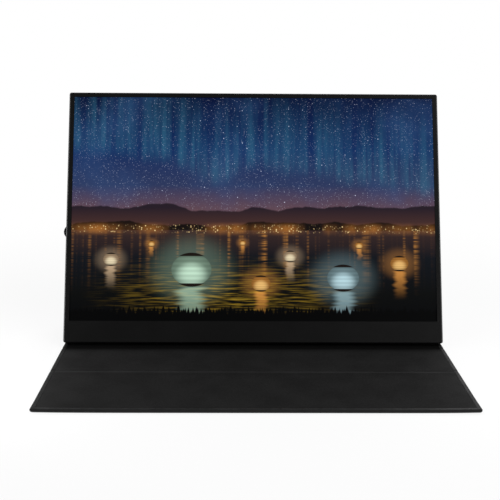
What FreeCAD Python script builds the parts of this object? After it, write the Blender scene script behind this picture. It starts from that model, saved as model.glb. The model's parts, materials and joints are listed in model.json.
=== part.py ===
import FreeCAD, Part
import math
import os
import re
import Sketcher

# Portable monitor standing in its folding cover.
# Row frame: +X to the right as seen from the front, +Y towards the back, +Z up.
# The origin lies on the table under the middle of the line on which the monitor stands.
# The monitor's own frame: x right, y up the case from its bottom edge, z out of the screen
# towards the viewer, with z = 0 at the front face. Depths below are counted backwards from there.
# A cover panel's own frame: x right, y along the cover from its front edge to its back edge,
# z from the outer skin at 0 to the inner side.

SIZES = [
    # Case
    ("corner_r", 2.0, "rounding of the case corners, seen from the front"),
    ("back_edge_r", 2.0, "rounding of the back edge"),
    ("wall", 1.2, "wall of the rear cover and of the frame's skirt"),
    ("bezel_depth", 3.4, "depth of the front frame's skirt"),
    ("lip_t", 1.2, "thickness of the front frame's face"),
    ("edge_bevel", 0.8, "bevel round the front face"),
    ("seam_bevel", 0.2, "bevel on both sides of the seam between frame and rear cover"),
    ("lean", 20.5, "angle of the screen from upright, in degrees"),
    # Screen stack
    ("view_w", 344.7, "width of the picture"),
    ("view_h", 215.4, "height of the picture"),
    ("lip_overlap", 2.0, "how far the frame covers the cell's edge"),
    ("side_gap", 1.7, "room beside the cell"),
    ("top_gap", 1.1, "room above the cell"),
    ("chin_gap", 2.5, "room between the screw posts and the driver board"),
    ("part_gap", 0.2, "room between the tallest part and the tray"),
    ("tape_t", 0.2, "thickness of the tape behind the lip"),
    ("tape_w", 1.5, "width of that tape"),
    ("cell_t", 1.0, "glass of the liquid crystal cell"),
    ("films_t", 0.4, "diffuser and prism films together"),
    ("guide_t", 0.7, "light guide"),
    ("reflector_t", 0.2, "reflector"),
    ("tray_t", 0.4, "sheet of the panel tray"),
    ("tray_fit", 0.3, "room round the films in the tray"),
    ("led_h", 0.8, "height of the light bar"),
    ("led_side", 20.0, "space at each end of the light bar"),
    ("driver_w", 220.0, "length of the panel's driver board"),
    ("driver_h", 6.5, "height of the driver board"),
    ("driver_t", 0.8, "thickness of the driver board"),
    ("driver_drop", 1.2, "space from the cell down to the driver board"),
    ("flex_w", 30.0, "width of a flex between cell and driver board"),
    ("flex_pitch", 62.0, "distance between the flexes"),
    ("flex_t", 0.15, "thickness of a flex"),
    ("flex_lap", 2.0, "flex on the driver board"),
    ("ribbon_t", 0.3, "thickness of the flat cables"),
    ("ribbon_w", 20.0, "width of the screen's flat cable"),
    ("ribbon_lap", 4.0, "flat cable on a board"),
    # Boards
    ("board_t", 0.8, "circuit boards"),
    ("standoff", 0.5, "height of the board bosses"),
    ("boss_r", 2.2, "radius of the board bosses"),
    ("board_side", 0.5, "gap from a board to the side wall"),
    ("main_w", 78.0, "width of the main board"),
    ("main_h", 100.0, "height of the main board"),
    ("main_low", 56.0, "height of the main board's lower edge"),
    ("hole_in", 5.0, "board screws in from the board's edges"),
    ("pin_screw_r", 0.75, "shank of a board screw"),
    ("pin_head_r", 1.4, "head of a board screw"),
    ("pin_head_t", 0.5, "thickness of that head"),
    ("thread_fit", 0.03, "room round a shank in its boss"),
    ("hole_fit", 0.15, "room round a shank in a board or cover"),
    ("chip_w", 14.0, "display chip"),
    ("chip_t", 1.2, "height of the chips"),
    ("chip_gap", 6.0, "distance between the chips"),
    ("shield_t", 0.25, "sheet of the shield"),
    ("shield_tall", 2.2, "height of the shield"),
    ("shield_rim", 4.0, "shield beyond the chips"),
    # Sockets in the right edge
    ("port_back", 0.4, "how far the sockets stay inside the wall's face"),
    ("port_fit", 0.15, "room round a socket in the wall"),
    ("shell_t", 0.35, "sheet of a socket's shell"),
    ("socket_tall", 3.2, "height of the flat sockets"),
    ("socket_end", 1.0, "back wall of a socket"),
    ("usb_w", 9.0, "width of a usb socket"),
    ("usb_d", 7.4, "depth of a usb socket"),
    ("usb_up", 14.0, "first usb socket above the main board's lower edge"),
    ("usb_pitch", 18.0, "distance between the usb sockets"),
    ("hdmi_w", 11.4, "width of the small picture socket"),
    ("hdmi_d", 7.8, "its depth"),
    ("hdmi_up", 20.0, "its distance from the second usb socket"),
    ("tongue_t", 0.7, "contact tongue in a socket"),
    ("tongue_side", 1.0, "space beside the tongue"),
    ("tongue_back", 1.2, "tongue behind the socket's mouth"),
    ("jack_w", 6.4, "width of the audio jack"),
    ("jack_d", 13.0, "its depth"),
    ("jack_tall", 4.5, "its height"),
    ("jack_bore", 1.8, "radius of its bore"),
    ("nose_wall", 0.4, "wall of its nose, which goes through the case"),
    ("jack_up", 20.0, "its distance from the picture socket"),
    # Dial and key in the left edge
    ("dial_r", 7.0, "radius of the dial"),
    ("dial_t", 2.0, "thickness of the dial"),
    ("dial_proud", 2.8, "how far the dial stands out of the edge"),
    ("dial_y", 105.0, "height of the dial's centre"),
    ("dial_ribs", 36, "grooves round the dial"),
    ("rib_r", 0.3, "radius of a groove"),
    ("dial_slot", 0.3, "room round the dial in the wall"),
    ("dial_travel", 0.6, "how far the dial presses in"),
    ("pivot_r", 1.0, "radius of the dial's pivot"),
    ("run_fit", 0.1, "running clearance of the keys"),
    ("sled_w", 8.0, "width of the dial carriage"),
    ("sled_t", 0.7, "thickness of the dial carriage"),
    ("switch_d", 5.5, "depth of the switch behind the dial"),
    ("key_w", 17.0, "width of the key board"),
    ("key_over", 12.0, "key board above the dial's centre"),
    ("key_under", 42.0, "key board below the dial's centre"),
    ("button_drop", 27.0, "power key below the dial's centre"),
    ("button_len", 12.0, "length of the power key"),
    ("button_w", 2.8, "width of the power key"),
    ("button_proud", 0.4, "how far the key stands out"),
    ("button_travel", 0.4, "how far the key presses in"),
    ("flange_lap", 0.4, "key's flange beyond its hole"),
    ("flange_t", 0.6, "thickness of that flange"),
    ("tact_w", 6.0, "power switch along the edge"),
    ("tact_d", 3.5, "depth of the power switch"),
    ("tact_tall", 3.0, "height of the switches"),
    # Sound
    ("speaker_w", 12.0, "width of a speaker"),
    ("speaker_h", 30.0, "height of a speaker"),
    ("speaker_low", 20.0, "height of its lower end"),
    ("speaker_tall", 4.0, "its thickness"),
    ("cone_in", 3.0, "rim round the speaker's cone"),
    ("cone_d", 0.8, "depth of the cone's recess"),
    ("foam_t", 0.8, "foam between speaker and wall"),
    ("foam_rim", 0.8, "width of the foam ring"),
    ("slots", 6, "speaker slots in each side wall"),
    ("slot_len", 2.6, "length of a speaker slot"),
    ("slot_w", 1.4, "width of a speaker slot"),
    ("slot_pitch", 4.2, "distance between the slots"),
    ("lead_r", 0.6, "radius of a speaker lead"),
    # Screws in the chin
    ("screw_r", 0.95, "shank of a case screw"),
    ("screw_len", 6.0, "length of the shank"),
    ("screw_head_r", 1.9, "head of a case screw"),
    ("screw_head_t", 0.7, "thickness of that head"),
    ("drive_len", 2.2, "length of the cross recess in a case screw"),
    ("drive_w", 0.5, "width of that recess"),
    ("drive_d", 0.4, "depth of that recess"),
    ("screw_y", 5.5, "height of the case screws"),
    ("screw_end", 27.0, "outer case screws from the side"),
    ("screw_pitch", 100.0, "distance between the case screws"),
    ("post_r", 2.6, "radius of a screw post"),
    # Magnets
    ("magnet_w", 24.0, "length of a magnet"),
    ("magnet_h", 7.0, "width of a magnet"),
    ("magnet_t", 1.5, "thickness of a magnet in the case"),
    ("magnet_gap", 19.5, "magnets from the main board"),
    ("magnet_in", 20.0, "magnets from the back panel's ends"),
    ("magnet_fit", 0.1, "room round a magnet in the cover"),
    # Cover
    ("skin_t", 0.8, "outer skin, also its turned-in border"),
    ("stiff_t", 1.4, "stiffener board"),
    ("lining_t", 0.6, "lining"),
    ("border_w", 4.0, "turned-in border"),
    ("lining_fit", 0.15, "gap between lining and border"),
    ("crease_half", 4.2, "from a crease's axis to the panel beside it"),
    ("web_gap", 1.25, "from a crease's axis to the web that turns"),
    ("cover_corner_r", 2.5, "rounding of the cover's corners"),
    ("front_len", 90.6, "front panel"),
    ("middle_len", 61.6, "middle panel, crease to crease"),
    ("spine_len", 14.6, "spine, crease to crease"),
    ("fold_height", 118.5, "height of the fold on the monitor's back"),
    ("strut_extra", 2.0, "strut beyond that height"),
    ("flap_setback", 5.5, "flap's crease in front of the case"),
    ("rest_gap", 0.1, "monitor above the panel that it stands on"),
]

WORKED = [
    # Depths of the screen stack
    ("cell_front", "lip_t + tape_t"),
    ("films_front", "cell_front + cell_t"),
    ("guide_front", "films_front + films_t"),
    ("reflector_front", "guide_front + guide_t"),
    ("tray_front", "reflector_front + reflector_t"),
    ("tray_back", "tray_front + tray_t"),
    # Frame round the picture
    ("side_band", "lip_overlap + side_gap + wall"),
    ("top_band", "lip_overlap + top_gap + wall"),
    ("bottom_band", "screw_y + post_r + chin_gap + driver_h + driver_drop + lip_overlap"),
    ("case_w", "view_w + 2 * side_band"),
    ("case_h", "bottom_band + view_h + top_band"),
    ("cell_low", "bottom_band - lip_overlap"),
    ("cell_high", "case_h - top_band + lip_overlap"),
    ("cell_half", "view_w / 2 + lip_overlap"),
    ("film_in", "tray_t + tray_fit"),
    # Depths behind the screen
    ("rear_room", "max(standoff + board_t + socket_tall; jack_tall; speaker_tall) + part_gap"),
    ("inner_back", "tray_back + rear_room"),
    ("case_t", "inner_back + wall"),
    ("board_back", "inner_back - standoff"),
    ("board_front", "board_back - board_t"),
    ("inner_side", "case_w / 2 - wall"),
    ("main_right", "inner_side - board_side"),
    ("main_left", "main_right - main_w"),
    ("main_top", "main_low + main_h"),
    ("socket_face", "case_w / 2 - port_back"),
    ("usb_y", "main_low + usb_up"),
    ("hdmi_y", "usb_y + usb_pitch + hdmi_up"),
    ("jack_y", "hdmi_y + jack_up"),
    ("jack_mid", "(tray_back + inner_back) / 2"),
    ("jack_nose", "jack_bore + nose_wall"),
    ("driver_top", "cell_low - driver_drop"),
    ("driver_low", "driver_top - driver_h"),
    ("ribbon_x", "main_left + hole_in"),
    ("driver_right", "ribbon_x + ribbon_w"),
    ("driver_mid", "driver_right - driver_w / 2"),
    ("magnet_x", "main_left - magnet_gap - magnet_w / 2"),
    # Controls
    ("sled_back", "board_front - run_fit"),
    ("sled_front", "sled_back - sled_t"),
    ("dial_back", "sled_front - run_fit"),
    ("dial_front", "dial_back - dial_t"),
    ("dial_x", "dial_r - dial_proud - case_w / 2"),
    ("switch_x", "dial_x + dial_r + dial_travel + 2 * run_fit"),
    ("sled_end", "switch_x - dial_travel - run_fit"),
    ("slot_half", "sqrt(dial_r^2 - (inner_side + dial_x - dial_travel)^2) + dial_slot"),
    ("key_left", "board_side - inner_side"),
    ("key_right", "key_left + key_w"),
    ("button_y", "dial_y - button_drop"),
    ("button_depth", "(dial_front + dial_back) / 2"),
    ("flange_in", "run_fit + flange_t - inner_side"),
    ("tact_x", "flange_in + button_travel + run_fit"),
    ("speaker_face", "inner_side - foam_t"),
    ("speaker_mid", "speaker_low + speaker_h / 2"),
    ("speaker_front", "inner_back - speaker_tall"),
    ("speaker_depth", "inner_back - speaker_tall / 2"),
    # Cover, along the table
    ("cover_w", "case_w"),
    ("cover_t", "2 * skin_t + stiff_t"),
    ("axis_h", "(skin_t + lining_t) / 2"),
    ("stiff_top", "skin_t + stiff_t"),
    ("edge_y", "0 - back_edge_r * sin(lean) - (case_t - back_edge_r) * cos(lean)"),
    ("edge_z", "cover_t + rest_gap + back_edge_r * (1 - cos(lean)) + (case_t - back_edge_r) * sin(lean)"),
    ("fold_depth", "case_t + cover_t - axis_h"),
    ("fold_y", "edge_y + fold_depth * cos(lean) + fold_height * sin(lean)"),
    ("fold_z", "edge_z - fold_depth * sin(lean) + fold_height * cos(lean)"),
    ("strut_len", "fold_height + strut_extra"),
    ("heel_y", "fold_y + sqrt(strut_len^2 - (fold_z - axis_h)^2)"),
    ("flap_y", "edge_y - flap_setback"),
    ("crease_y", "flap_y - middle_len"),
    ("front_y", "crease_y - front_len"),
    ("spine_y", "heel_y - spine_len"),
    ("rear_len", "spine_y - flap_y"),
    ("back_len", "case_h - fold_height"),
    ("magnet_low", "fold_height + magnet_in"),
    ("magnet_high", "case_h - magnet_in"),
]

# Length by which a cutting tool runs past the face that it opens.
OVERCUT = 1.0
# Distance within which an edge counts as lying at a place.
CLOSE = 1e-4

X_AXIS = FreeCAD.Vector(1, 0, 0)
TURN = {
    "x": FreeCAD.Rotation(FreeCAD.Vector(0, 1, 0), 90),
    "y": FreeCAD.Rotation(FreeCAD.Vector(1, 0, 0), -90),
    "z": FreeCAD.Rotation(),
}

doc = FreeCAD.newDocument("portable_monitor")
sizes = doc.addObject("Spreadsheet::Sheet", "Sizes")
worked = doc.addObject("Spreadsheet::Sheet", "Worked")
HOME = {alias: "Sizes" for alias, _, _ in SIZES}
HOME.update({alias: "Worked" for alias, _ in WORKED})
pieces = []


def bound(text):
    """Write each size's name in an expression with the sheet that holds it."""
    return re.sub(r"[a-z][a-z_]*", lambda m: f"{HOME[m[0]]}.{m[0]}" if m[0] in HOME else m[0], text)


def value(alias):
    """Read one size or worked-out length."""
    return float(doc.getObject(HOME[alias]).get(alias))


def fill_sheets():
    """Put the driving sizes and the lengths that follow from them into their sheets."""
    for row, (alias, size, note) in enumerate(SIZES, start=1):
        sizes.set(f"A{row}", note)
        sizes.set(f"B{row}", str(size))
        sizes.setAlias(f"B{row}", alias)
    doc.recompute()
    for row, (alias, formula) in enumerate(WORKED, start=1):
        worked.set(f"B{row}", "=" + bound(formula))
        worked.setAlias(f"B{row}", alias)
        doc.recompute()


# Building blocks

def span(middle, width):
    """Give the two ends of a width about a middle."""
    return (f"{middle} - ({width}) / 2", f"{middle} + ({width}) / 2")


def depth(front, back):
    """Give the z ends of something between two depths behind the front face."""
    return (f"0 - ({back})", f"0 - ({front})")


def bind_box(block, x, y, z):
    """Tie a box's size and corner to expressions."""
    for name, axis, (low, high) in (("Length", "x", x), ("Width", "y", y), ("Height", "z", z)):
        block.setExpression(name, bound(f"({high}) - ({low})"))
        block.setExpression(f"Placement.Base.{axis}", bound(low))
    return block


def bind_rod(rod, axis, centre, ends, radius):
    """Tie a cylinder along x, y or z to expressions; centre gives its other two coordinates in order."""
    rod.Placement = FreeCAD.Placement(FreeCAD.Vector(), TURN[axis])
    rod.setExpression("Radius", bound(radius))
    rod.setExpression("Height", bound(f"({ends[1]}) - ({ends[0]})"))
    others = [name for name in "xyz" if name != axis]
    rod.setExpression(f"Placement.Base.{axis}", bound(ends[0]))
    for name, place in zip(others, centre):
        rod.setExpression(f"Placement.Base.{name}", bound(place))
    return rod


def box(x, y, z):
    """Make a box between expressions."""
    return bind_box(doc.addObject("Part::Box", "Block"), x, y, z)


def plate(x, y, z):
    """Make a body that starts as a box, for a piece that gets a place of its own."""
    body = doc.addObject("PartDesign::Body", "Plate")
    bind_box(body.newObject("PartDesign::AdditiveBox", "Sheet"), x, y, z)
    return body


def rod(axis, centre, ends, radius):
    """Make a cylinder along an axis."""
    return bind_rod(doc.addObject("Part::Cylinder", "Rod"), axis, centre, ends, radius)


def joined(*parts):
    """Fuse solids that are one piece."""
    fuse = doc.addObject("Part::MultiFuse", "Joined")
    fuse.Shapes = list(parts)
    return fuse


def cut(base, *tools):
    """Cut tools out of a solid."""
    result = doc.addObject("Part::Cut", "Cut")
    result.Base = base
    result.Tool = tools[0] if len(tools) == 1 else joined(*tools)
    return result


def group(*parts):
    """Keep alike but separate solids together in one node."""
    compound = doc.addObject("Part::Compound", "Group")
    compound.Links = list(parts)
    return compound


def rounded(base, radius, picked):
    """Round the edges of a solid that a test picks."""
    doc.recompute()
    fillet = doc.addObject("Part::Fillet", "Rounded")
    fillet.Base = base
    chosen = [number for number, edge in enumerate(base.Shape.Edges, start=1) if picked(edge)]
    fillet.Edges = [(number, radius, radius) for number in chosen]
    return fillet


def upright(edge):
    """Tell whether an edge runs along z."""
    start, end = edge.Vertexes[0].Point, edge.Vertexes[-1].Point
    return abs(end.z - start.z) > 0.9 * edge.Length > 0


def plane_of(body, role):
    """Find one of a body's own origin planes or axes."""
    return next(feature for feature in body.Origin.OriginFeatures if feature.Role == role)


def rectangle(x, y):
    """List the corners of a rectangle between expressions."""
    return [(x[0], y[0]), (x[1], y[0]), (x[1], y[1]), (x[0], y[1])]


def outline(body, role, offset, *loops):
    """Draw closed outlines on a body's plane, with every corner tied to expressions."""
    sketch = body.newObject("Sketcher::SketchObject", "Outline")
    sketch.AttachmentSupport = (plane_of(body, role), [""])
    sketch.MapMode = "FlatFace"
    sketch.setExpression("AttachmentOffset.Base.z", bound(offset))
    for loop in loops:
        first = sketch.GeometryCount
        count = len(loop)
        spots = [FreeCAD.Vector(math.cos(2 * math.pi * k / count), math.sin(2 * math.pi * k / count), 0)
                 for k in range(count)]
        for k in range(count):
            sketch.addGeometry(Part.LineSegment(spots[k], spots[(k + 1) % count]))
        for k in range(count):
            sketch.addConstraint(
                Sketcher.Constraint("Coincident", first + k, 2, first + (k + 1) % count, 1))
        for k, corner in enumerate(loop):
            for kind, start, place in zip(("DistanceX", "DistanceY"), (spots[k].x, spots[k].y), corner):
                number = sketch.addConstraint(Sketcher.Constraint(kind, -1, 1, first + k, 1, start))
                sketch.setExpression(f"Constraints[{number}]", bound(place))
    return sketch


def extrude(body, kind, sketch, length, midplane=False, reverse=False):
    """Pad or pocket a sketch by an expression."""
    feature = body.newObject(f"PartDesign::{kind}", kind)
    feature.Profile = sketch
    feature.setExpression("Length", bound(length))
    feature.Midplane = midplane
    feature.Reversed = reverse
    sketch.Visibility = False
    return feature


def dress(body, kind, size_name, size, picked):
    """Fillet or chamfer the edges of a body's newest feature that a test picks."""
    doc.recompute()
    base = body.Tip
    chosen = [f"Edge{number}" for number, edge in enumerate(base.Shape.Edges, start=1) if picked(edge)]
    feature = body.newObject(f"PartDesign::{kind}", kind)
    feature.Base = (base, chosen)
    feature.setExpression(size_name, bound(size))
    return feature


def add_rod(body, axis, centre, ends, radius):
    """Add a cylinder to a body."""
    return bind_rod(body.newObject("PartDesign::AdditiveCylinder", "Rod"), axis, centre, ends, radius)


def bore(body, axis, centre, ends, radius):
    """Cut a cylinder out of a body."""
    return bind_rod(body.newObject("PartDesign::SubtractiveCylinder", "Bore"), axis, centre, ends, radius)


def window(body, x, y, z):
    """Cut a box out of a body."""
    return bind_box(body.newObject("PartDesign::SubtractiveBox", "Window"), x, y, z)


def piece(label, shape_object, place):
    """Name a finished piece and put it in its place."""
    shape_object.Label = label
    shape_object.Placement = place
    pieces.append(shape_object)


# Places of the monitor and of the cover's panels

def monitor_place():
    """Give the leaning monitor's place."""
    base = FreeCAD.Vector(0, value("edge_y"), value("edge_z"))
    return FreeCAD.Placement(base, FreeCAD.Rotation(X_AXIS, 90 - value("lean")))


def back_panel_place():
    """Give the place of the panel that lies on the monitor's back."""
    shift = FreeCAD.Vector(0, value("fold_height"), -value("case_t") - value("cover_t"))
    return monitor_place().multiply(FreeCAD.Placement(shift, FreeCAD.Rotation()))


def strut_place():
    """Give the place of the strut, which rises from the heel crease to the fold on the monitor's back."""
    rise = value("fold_z") - value("axis_h")
    run = value("fold_y") - value("heel_y")
    turn = FreeCAD.Rotation(X_AXIS, math.degrees(math.atan2(rise, run)))
    heel = FreeCAD.Vector(0, value("heel_y"), value("axis_h"))
    return FreeCAD.Placement(heel - turn.multVec(FreeCAD.Vector(0, 0, value("axis_h"))), turn)


def table_place(start):
    """Give the place of a panel that lies on the table and starts at a named y."""
    return FreeCAD.Placement(FreeCAD.Vector(0, value(start), 0), FreeCAD.Rotation())


# Monitor case

def board_holes():
    """List the board screws' places as x and y expressions."""
    corners = [(x, y) for x in ("main_left + hole_in", "main_right - hole_in - usb_d")
               for y in ("main_low + hole_in", "main_top - hole_in")]
    keys = [("key_right - hole_in / 2", y)
            for y in ("dial_y + key_over - hole_in / 2", "dial_y - key_under + hole_in / 2")]
    return corners + keys


def case_screw_spots():
    """List the case screws' x places."""
    return ["screw_end - case_w / 2", "0 - screw_pitch / 2", "screw_pitch / 2", "case_w / 2 - screw_end"]


def flat_sockets():
    """List the flat sockets as height on the side and width."""
    return [("usb_y", "usb_w"), ("usb_y + usb_pitch", "usb_w"), ("hdmi_y", "hdmi_w")]


def rear_cover(place):
    """Back shell with side walls, bosses and every opening in its edges."""
    body = doc.addObject("PartDesign::Body", "RearCover")
    half = ("0 - case_w / 2", "case_w / 2")
    outer = outline(body, "XY_Plane", "0 - bezel_depth", rectangle(half, ("0", "case_h")))
    extrude(body, "Pad", outer, "case_t - bezel_depth", reverse=True)
    dress(body, "Fillet", "Radius", "corner_r", upright)
    back, seam = -value("case_t"), -value("bezel_depth")
    dress(body, "Fillet", "Radius", "back_edge_r", lambda edge: abs(edge.CenterOfMass.z - back) < CLOSE)
    dress(body, "Chamfer", "Size", "seam_bevel", lambda edge: edge.BoundBox.ZMin > seam - CLOSE)
    inner = outline(body, "XY_Plane", "0 - bezel_depth",
                    rectangle(("0 - inner_side", "inner_side"), ("wall", "case_h - wall")))
    extrude(body, "Pocket", inner, "inner_back - bezel_depth")
    for spot in board_holes():
        add_rod(body, "z", spot, depth("board_back", "inner_back"), "boss_r")
        bore(body, "z", spot, depth(f"board_back - {OVERCUT}", "inner_back + wall / 2"),
             "pin_screw_r + thread_fit")
    for spot in case_screw_spots():
        bore(body, "z", (spot, "screw_y"), depth(f"inner_back - {OVERCUT}", f"case_t + {OVERCUT}"),
             "screw_r + hole_fit")
        bore(body, "z", (spot, "screw_y"), depth("case_t - screw_head_t - thread_fit", f"case_t + {OVERCUT}"),
             "screw_head_r + hole_fit")
    right = (f"inner_side - {OVERCUT}", f"case_w / 2 + {OVERCUT}")
    left = (f"0 - case_w / 2 - {OVERCUT}", f"{OVERCUT} - inner_side")
    for height, width in flat_sockets():
        window(body, right, span(height, f"{width} + 2 * port_fit"),
               depth("board_front - socket_tall - port_fit", "board_front + port_fit"))
    bore(body, "x", ("jack_y", "0 - jack_mid"), right, "jack_nose + port_fit")
    window(body, left, span("dial_y", "2 * slot_half"),
           depth("dial_front - dial_slot", "dial_back + dial_slot"))
    window(body, left, span("button_y", "button_len + 2 * run_fit"),
           span("0 - button_depth", "button_w + 2 * run_fit"))
    count = int(value("slots"))
    for number in range(count):
        height = f"speaker_mid + slot_pitch * {number - (count - 1) / 2}"
        for side in (left, right):
            window(body, side, span(height, "slot_len"), span("0 - speaker_depth", "slot_w"))
    piece("rear_cover", body, place)


def on_rim(edge, level):
    """Tell whether an edge at a level runs round the outside of the front frame."""
    middle = edge.CenterOfMass
    flat = abs(edge.BoundBox.ZMin - level) < CLOSE and abs(edge.BoundBox.ZMax - level) < CLOSE
    beside = abs(middle.x) > value("inner_side") + CLOSE
    past_end = not value("wall") - CLOSE < middle.y < value("case_h") - value("wall") + CLOSE
    return flat and (beside or past_end)


def front_bezel(place):
    """Front frame: face round the picture, skirt and screw posts."""
    body = doc.addObject("PartDesign::Body", "FrontBezel")
    half = ("0 - case_w / 2", "case_w / 2")
    outer = rectangle(half, ("0", "case_h"))
    picture = rectangle(span("0", "view_w"), ("bottom_band", "bottom_band + view_h"))
    extrude(body, "Pad", outline(body, "XY_Plane", "0", outer, picture), "lip_t", reverse=True)
    skirt = rectangle(("0 - inner_side", "inner_side"), ("wall", "case_h - wall"))
    extrude(body, "Pad", outline(body, "XY_Plane", "0 - lip_t", outer, skirt),
            "bezel_depth - lip_t", reverse=True)
    width = value("case_w") / 2
    dress(body, "Fillet", "Radius", "corner_r",
          lambda edge: upright(edge) and abs(abs(edge.CenterOfMass.x) - width) < CLOSE)
    dress(body, "Chamfer", "Size", "edge_bevel", lambda edge: on_rim(edge, 0))
    seam = -value("bezel_depth")
    dress(body, "Chamfer", "Size", "seam_bevel", lambda edge: on_rim(edge, seam))
    for spot in case_screw_spots():
        add_rod(body, "z", (spot, "screw_y"), depth("lip_t", "inner_back"), "post_r")
        bore(body, "z", (spot, "screw_y"),
             depth("case_t - screw_head_t - thread_fit - screw_len", f"inner_back + {OVERCUT}"),
             "screw_r + thread_fit")
    piece("front_bezel", body, place)


def case_screws(place):
    """Four flat-headed screws along the chin, with cross recesses."""
    screws = []
    for spot in case_screw_spots():
        centre = (spot, "screw_y")
        under = "case_t - screw_head_t - thread_fit"
        head = rod("z", centre, depth(under, "case_t - thread_fit"), "screw_head_r")
        shank = rod("z", centre, depth(f"{under} - screw_len", f"{under} + screw_head_t / 4"), "screw_r")
        recess = depth("case_t - thread_fit - drive_d", f"case_t + {OVERCUT}")
        across = box(span(spot, "drive_len"), span("screw_y", "drive_w"), recess)
        upward = box(span(spot, "drive_w"), span("screw_y", "drive_len"), recess)
        screws.append(cut(joined(head, shank), across, upward))
    piece("case_screws", group(*screws), place)


# Screen stack

def ring(x, y, z, width):
    """Make a flat rectangular ring from its outer ends and its width."""
    hole_x = (f"{x[0]} + {width}", f"{x[1]} - {width}")
    hole_y = (f"{y[0]} + {width}", f"{y[1]} - {width}")
    return cut(box(x, y, z), box(hole_x, hole_y, (f"{z[0]} - {OVERCUT}", f"{z[1]} + {OVERCUT}")))


def screen_stack(place):
    """Tape, glass cell, films, light guide, reflector, tray and light bar, from the front."""
    across = ("0 - cell_half", "cell_half")
    along = ("cell_low", "cell_high")
    piece("panel_tape", ring(across, along, depth("lip_t", "cell_front"), "tape_w"), place)
    piece("lcd_cell", plate(across, along, depth("cell_front", "films_front")), place)
    film_x = ("film_in - cell_half", "cell_half - film_in")
    film_y = ("cell_low + film_in", "cell_high - film_in")
    guide_y = ("cell_low + film_in + led_h", film_y[1])
    piece("optical_films", plate(film_x, film_y, depth("films_front", "guide_front")), place)
    piece("light_guide", plate(film_x, guide_y, depth("guide_front", "reflector_front")), place)
    piece("reflector_sheet", plate(film_x, film_y, depth("reflector_front", "tray_front")), place)
    hollow = box(("tray_t - cell_half", "cell_half - tray_t"), ("cell_low + tray_t", "cell_high - tray_t"),
                 ("0 - tray_front", f"{OVERCUT} - films_front"))
    piece("panel_tray", cut(box(across, along, depth("films_front", "tray_back")), hollow), place)
    bar_x = ("led_side - cell_half", "cell_half - led_side")
    bar_y = ("cell_low + film_in", "cell_low + film_in + led_h")
    piece("led_bar", plate(bar_x, bar_y, depth("guide_front", "reflector_front")), place)


def panel_driver(place):
    """Driver board behind the chin, its flexes to the cell and the flat cable to the main board."""
    back = "lip_t + driver_t"
    board = plate(span("driver_mid", "driver_w"), ("driver_low", "driver_top"), depth("lip_t", back))
    piece("panel_driver_board", board, place)
    flexes = []
    for number in (-1, 0, 1):
        across = span(f"driver_mid + {number} * flex_pitch", "flex_w")
        flexes.append(box(across, ("driver_top - flex_lap", "cell_low"), depth(back, f"{back} + flex_t")))
    piece("panel_flexes", group(*flexes), place)
    across = ("ribbon_x", "driver_right")
    turn_low = "driver_low + ribbon_lap"
    turn_high = "main_low + 2 * hole_in"
    behind = "tray_back + ribbon_t"
    cable = joined(
        box(across, ("driver_low", turn_low), depth(back, f"{back} + ribbon_t")),
        box(across, (f"{turn_low} - ribbon_t", turn_low), depth(back, behind)),
        box(across, (f"{turn_low} - ribbon_t", turn_high), depth("tray_back", behind)),
        box(across, (f"{turn_high} - ribbon_t", turn_high), depth("tray_back", "board_front")),
        box(across, (turn_high, f"{turn_high} + ribbon_lap"), depth("board_front - ribbon_t", "board_front")),
        box(across, (f"{turn_high} - ribbon_t", f"{turn_high} + ribbon_t"),
            depth("board_front - ribbon_t", "board_front")))
    piece("panel_cable", cable, place)


# Electronics

def main_board(place):
    """Main board on its bosses, with room for the audio jack, its chips, shield and thermal pad."""
    thick = depth("board_front", "board_back")
    board = box(("main_left", "main_right"), ("main_low", "main_top"), thick)
    through = depth(f"board_front - {OVERCUT}", f"board_back + {OVERCUT}")
    holes = [rod("z", spot, through, "pin_screw_r + hole_fit") for spot in board_holes()[:4]]
    notch = box(("socket_face - jack_d - port_fit", f"main_right + {OVERCUT}"),
                span("jack_y", "jack_w + 2 * port_fit"), through)
    piece("main_board", cut(board, notch, *holes), place)
    chip_left = "main_left + chip_w"
    first = (chip_left, f"{chip_left} + chip_w")
    second = (f"{chip_left} + chip_w + chip_gap", f"{chip_left} + 2 * chip_w + chip_gap")
    chip_y = ("main_low + main_h / 2", "main_low + main_h / 2 + chip_w")
    coil_y = ("main_low + main_h / 2 - chip_w - chip_gap", "main_low + main_h / 2 - chip_gap")
    tall = depth("board_front - chip_t", "board_front")
    chips = [box(first, chip_y, tall), box(second, chip_y, tall), box(second, coil_y, tall)]
    piece("board_chips", group(*chips), place)
    can_x = (f"{first[0]} - shield_rim", f"{second[1]} + shield_rim")
    can_y = (f"{chip_y[0]} - shield_rim", f"{chip_y[1]} + shield_rim")
    can = box(can_x, can_y, depth("board_front - shield_tall", "board_front"))
    inside = box((f"{can_x[0]} + shield_t", f"{can_x[1]} - shield_t"),
                 (f"{can_y[0]} + shield_t", f"{can_y[1]} - shield_t"),
                 depth("board_front - shield_tall + shield_t", f"board_front + {OVERCUT}"))
    piece("board_shield", cut(can, inside), place)
    piece("thermal_pad", plate(first, chip_y, depth("board_back", "inner_back")), place)


def board_screws(place):
    """Screws of the main board and of the key board."""
    screws = []
    for spot in board_holes():
        head = rod("z", spot, depth("board_front - pin_head_t", "board_front"), "pin_head_r")
        shank = rod("z", spot, depth("board_front - pin_head_t / 2", "inner_back + wall / 4"), "pin_screw_r")
        screws.append(joined(head, shank))
    piece("board_screws", group(*screws), place)


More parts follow.
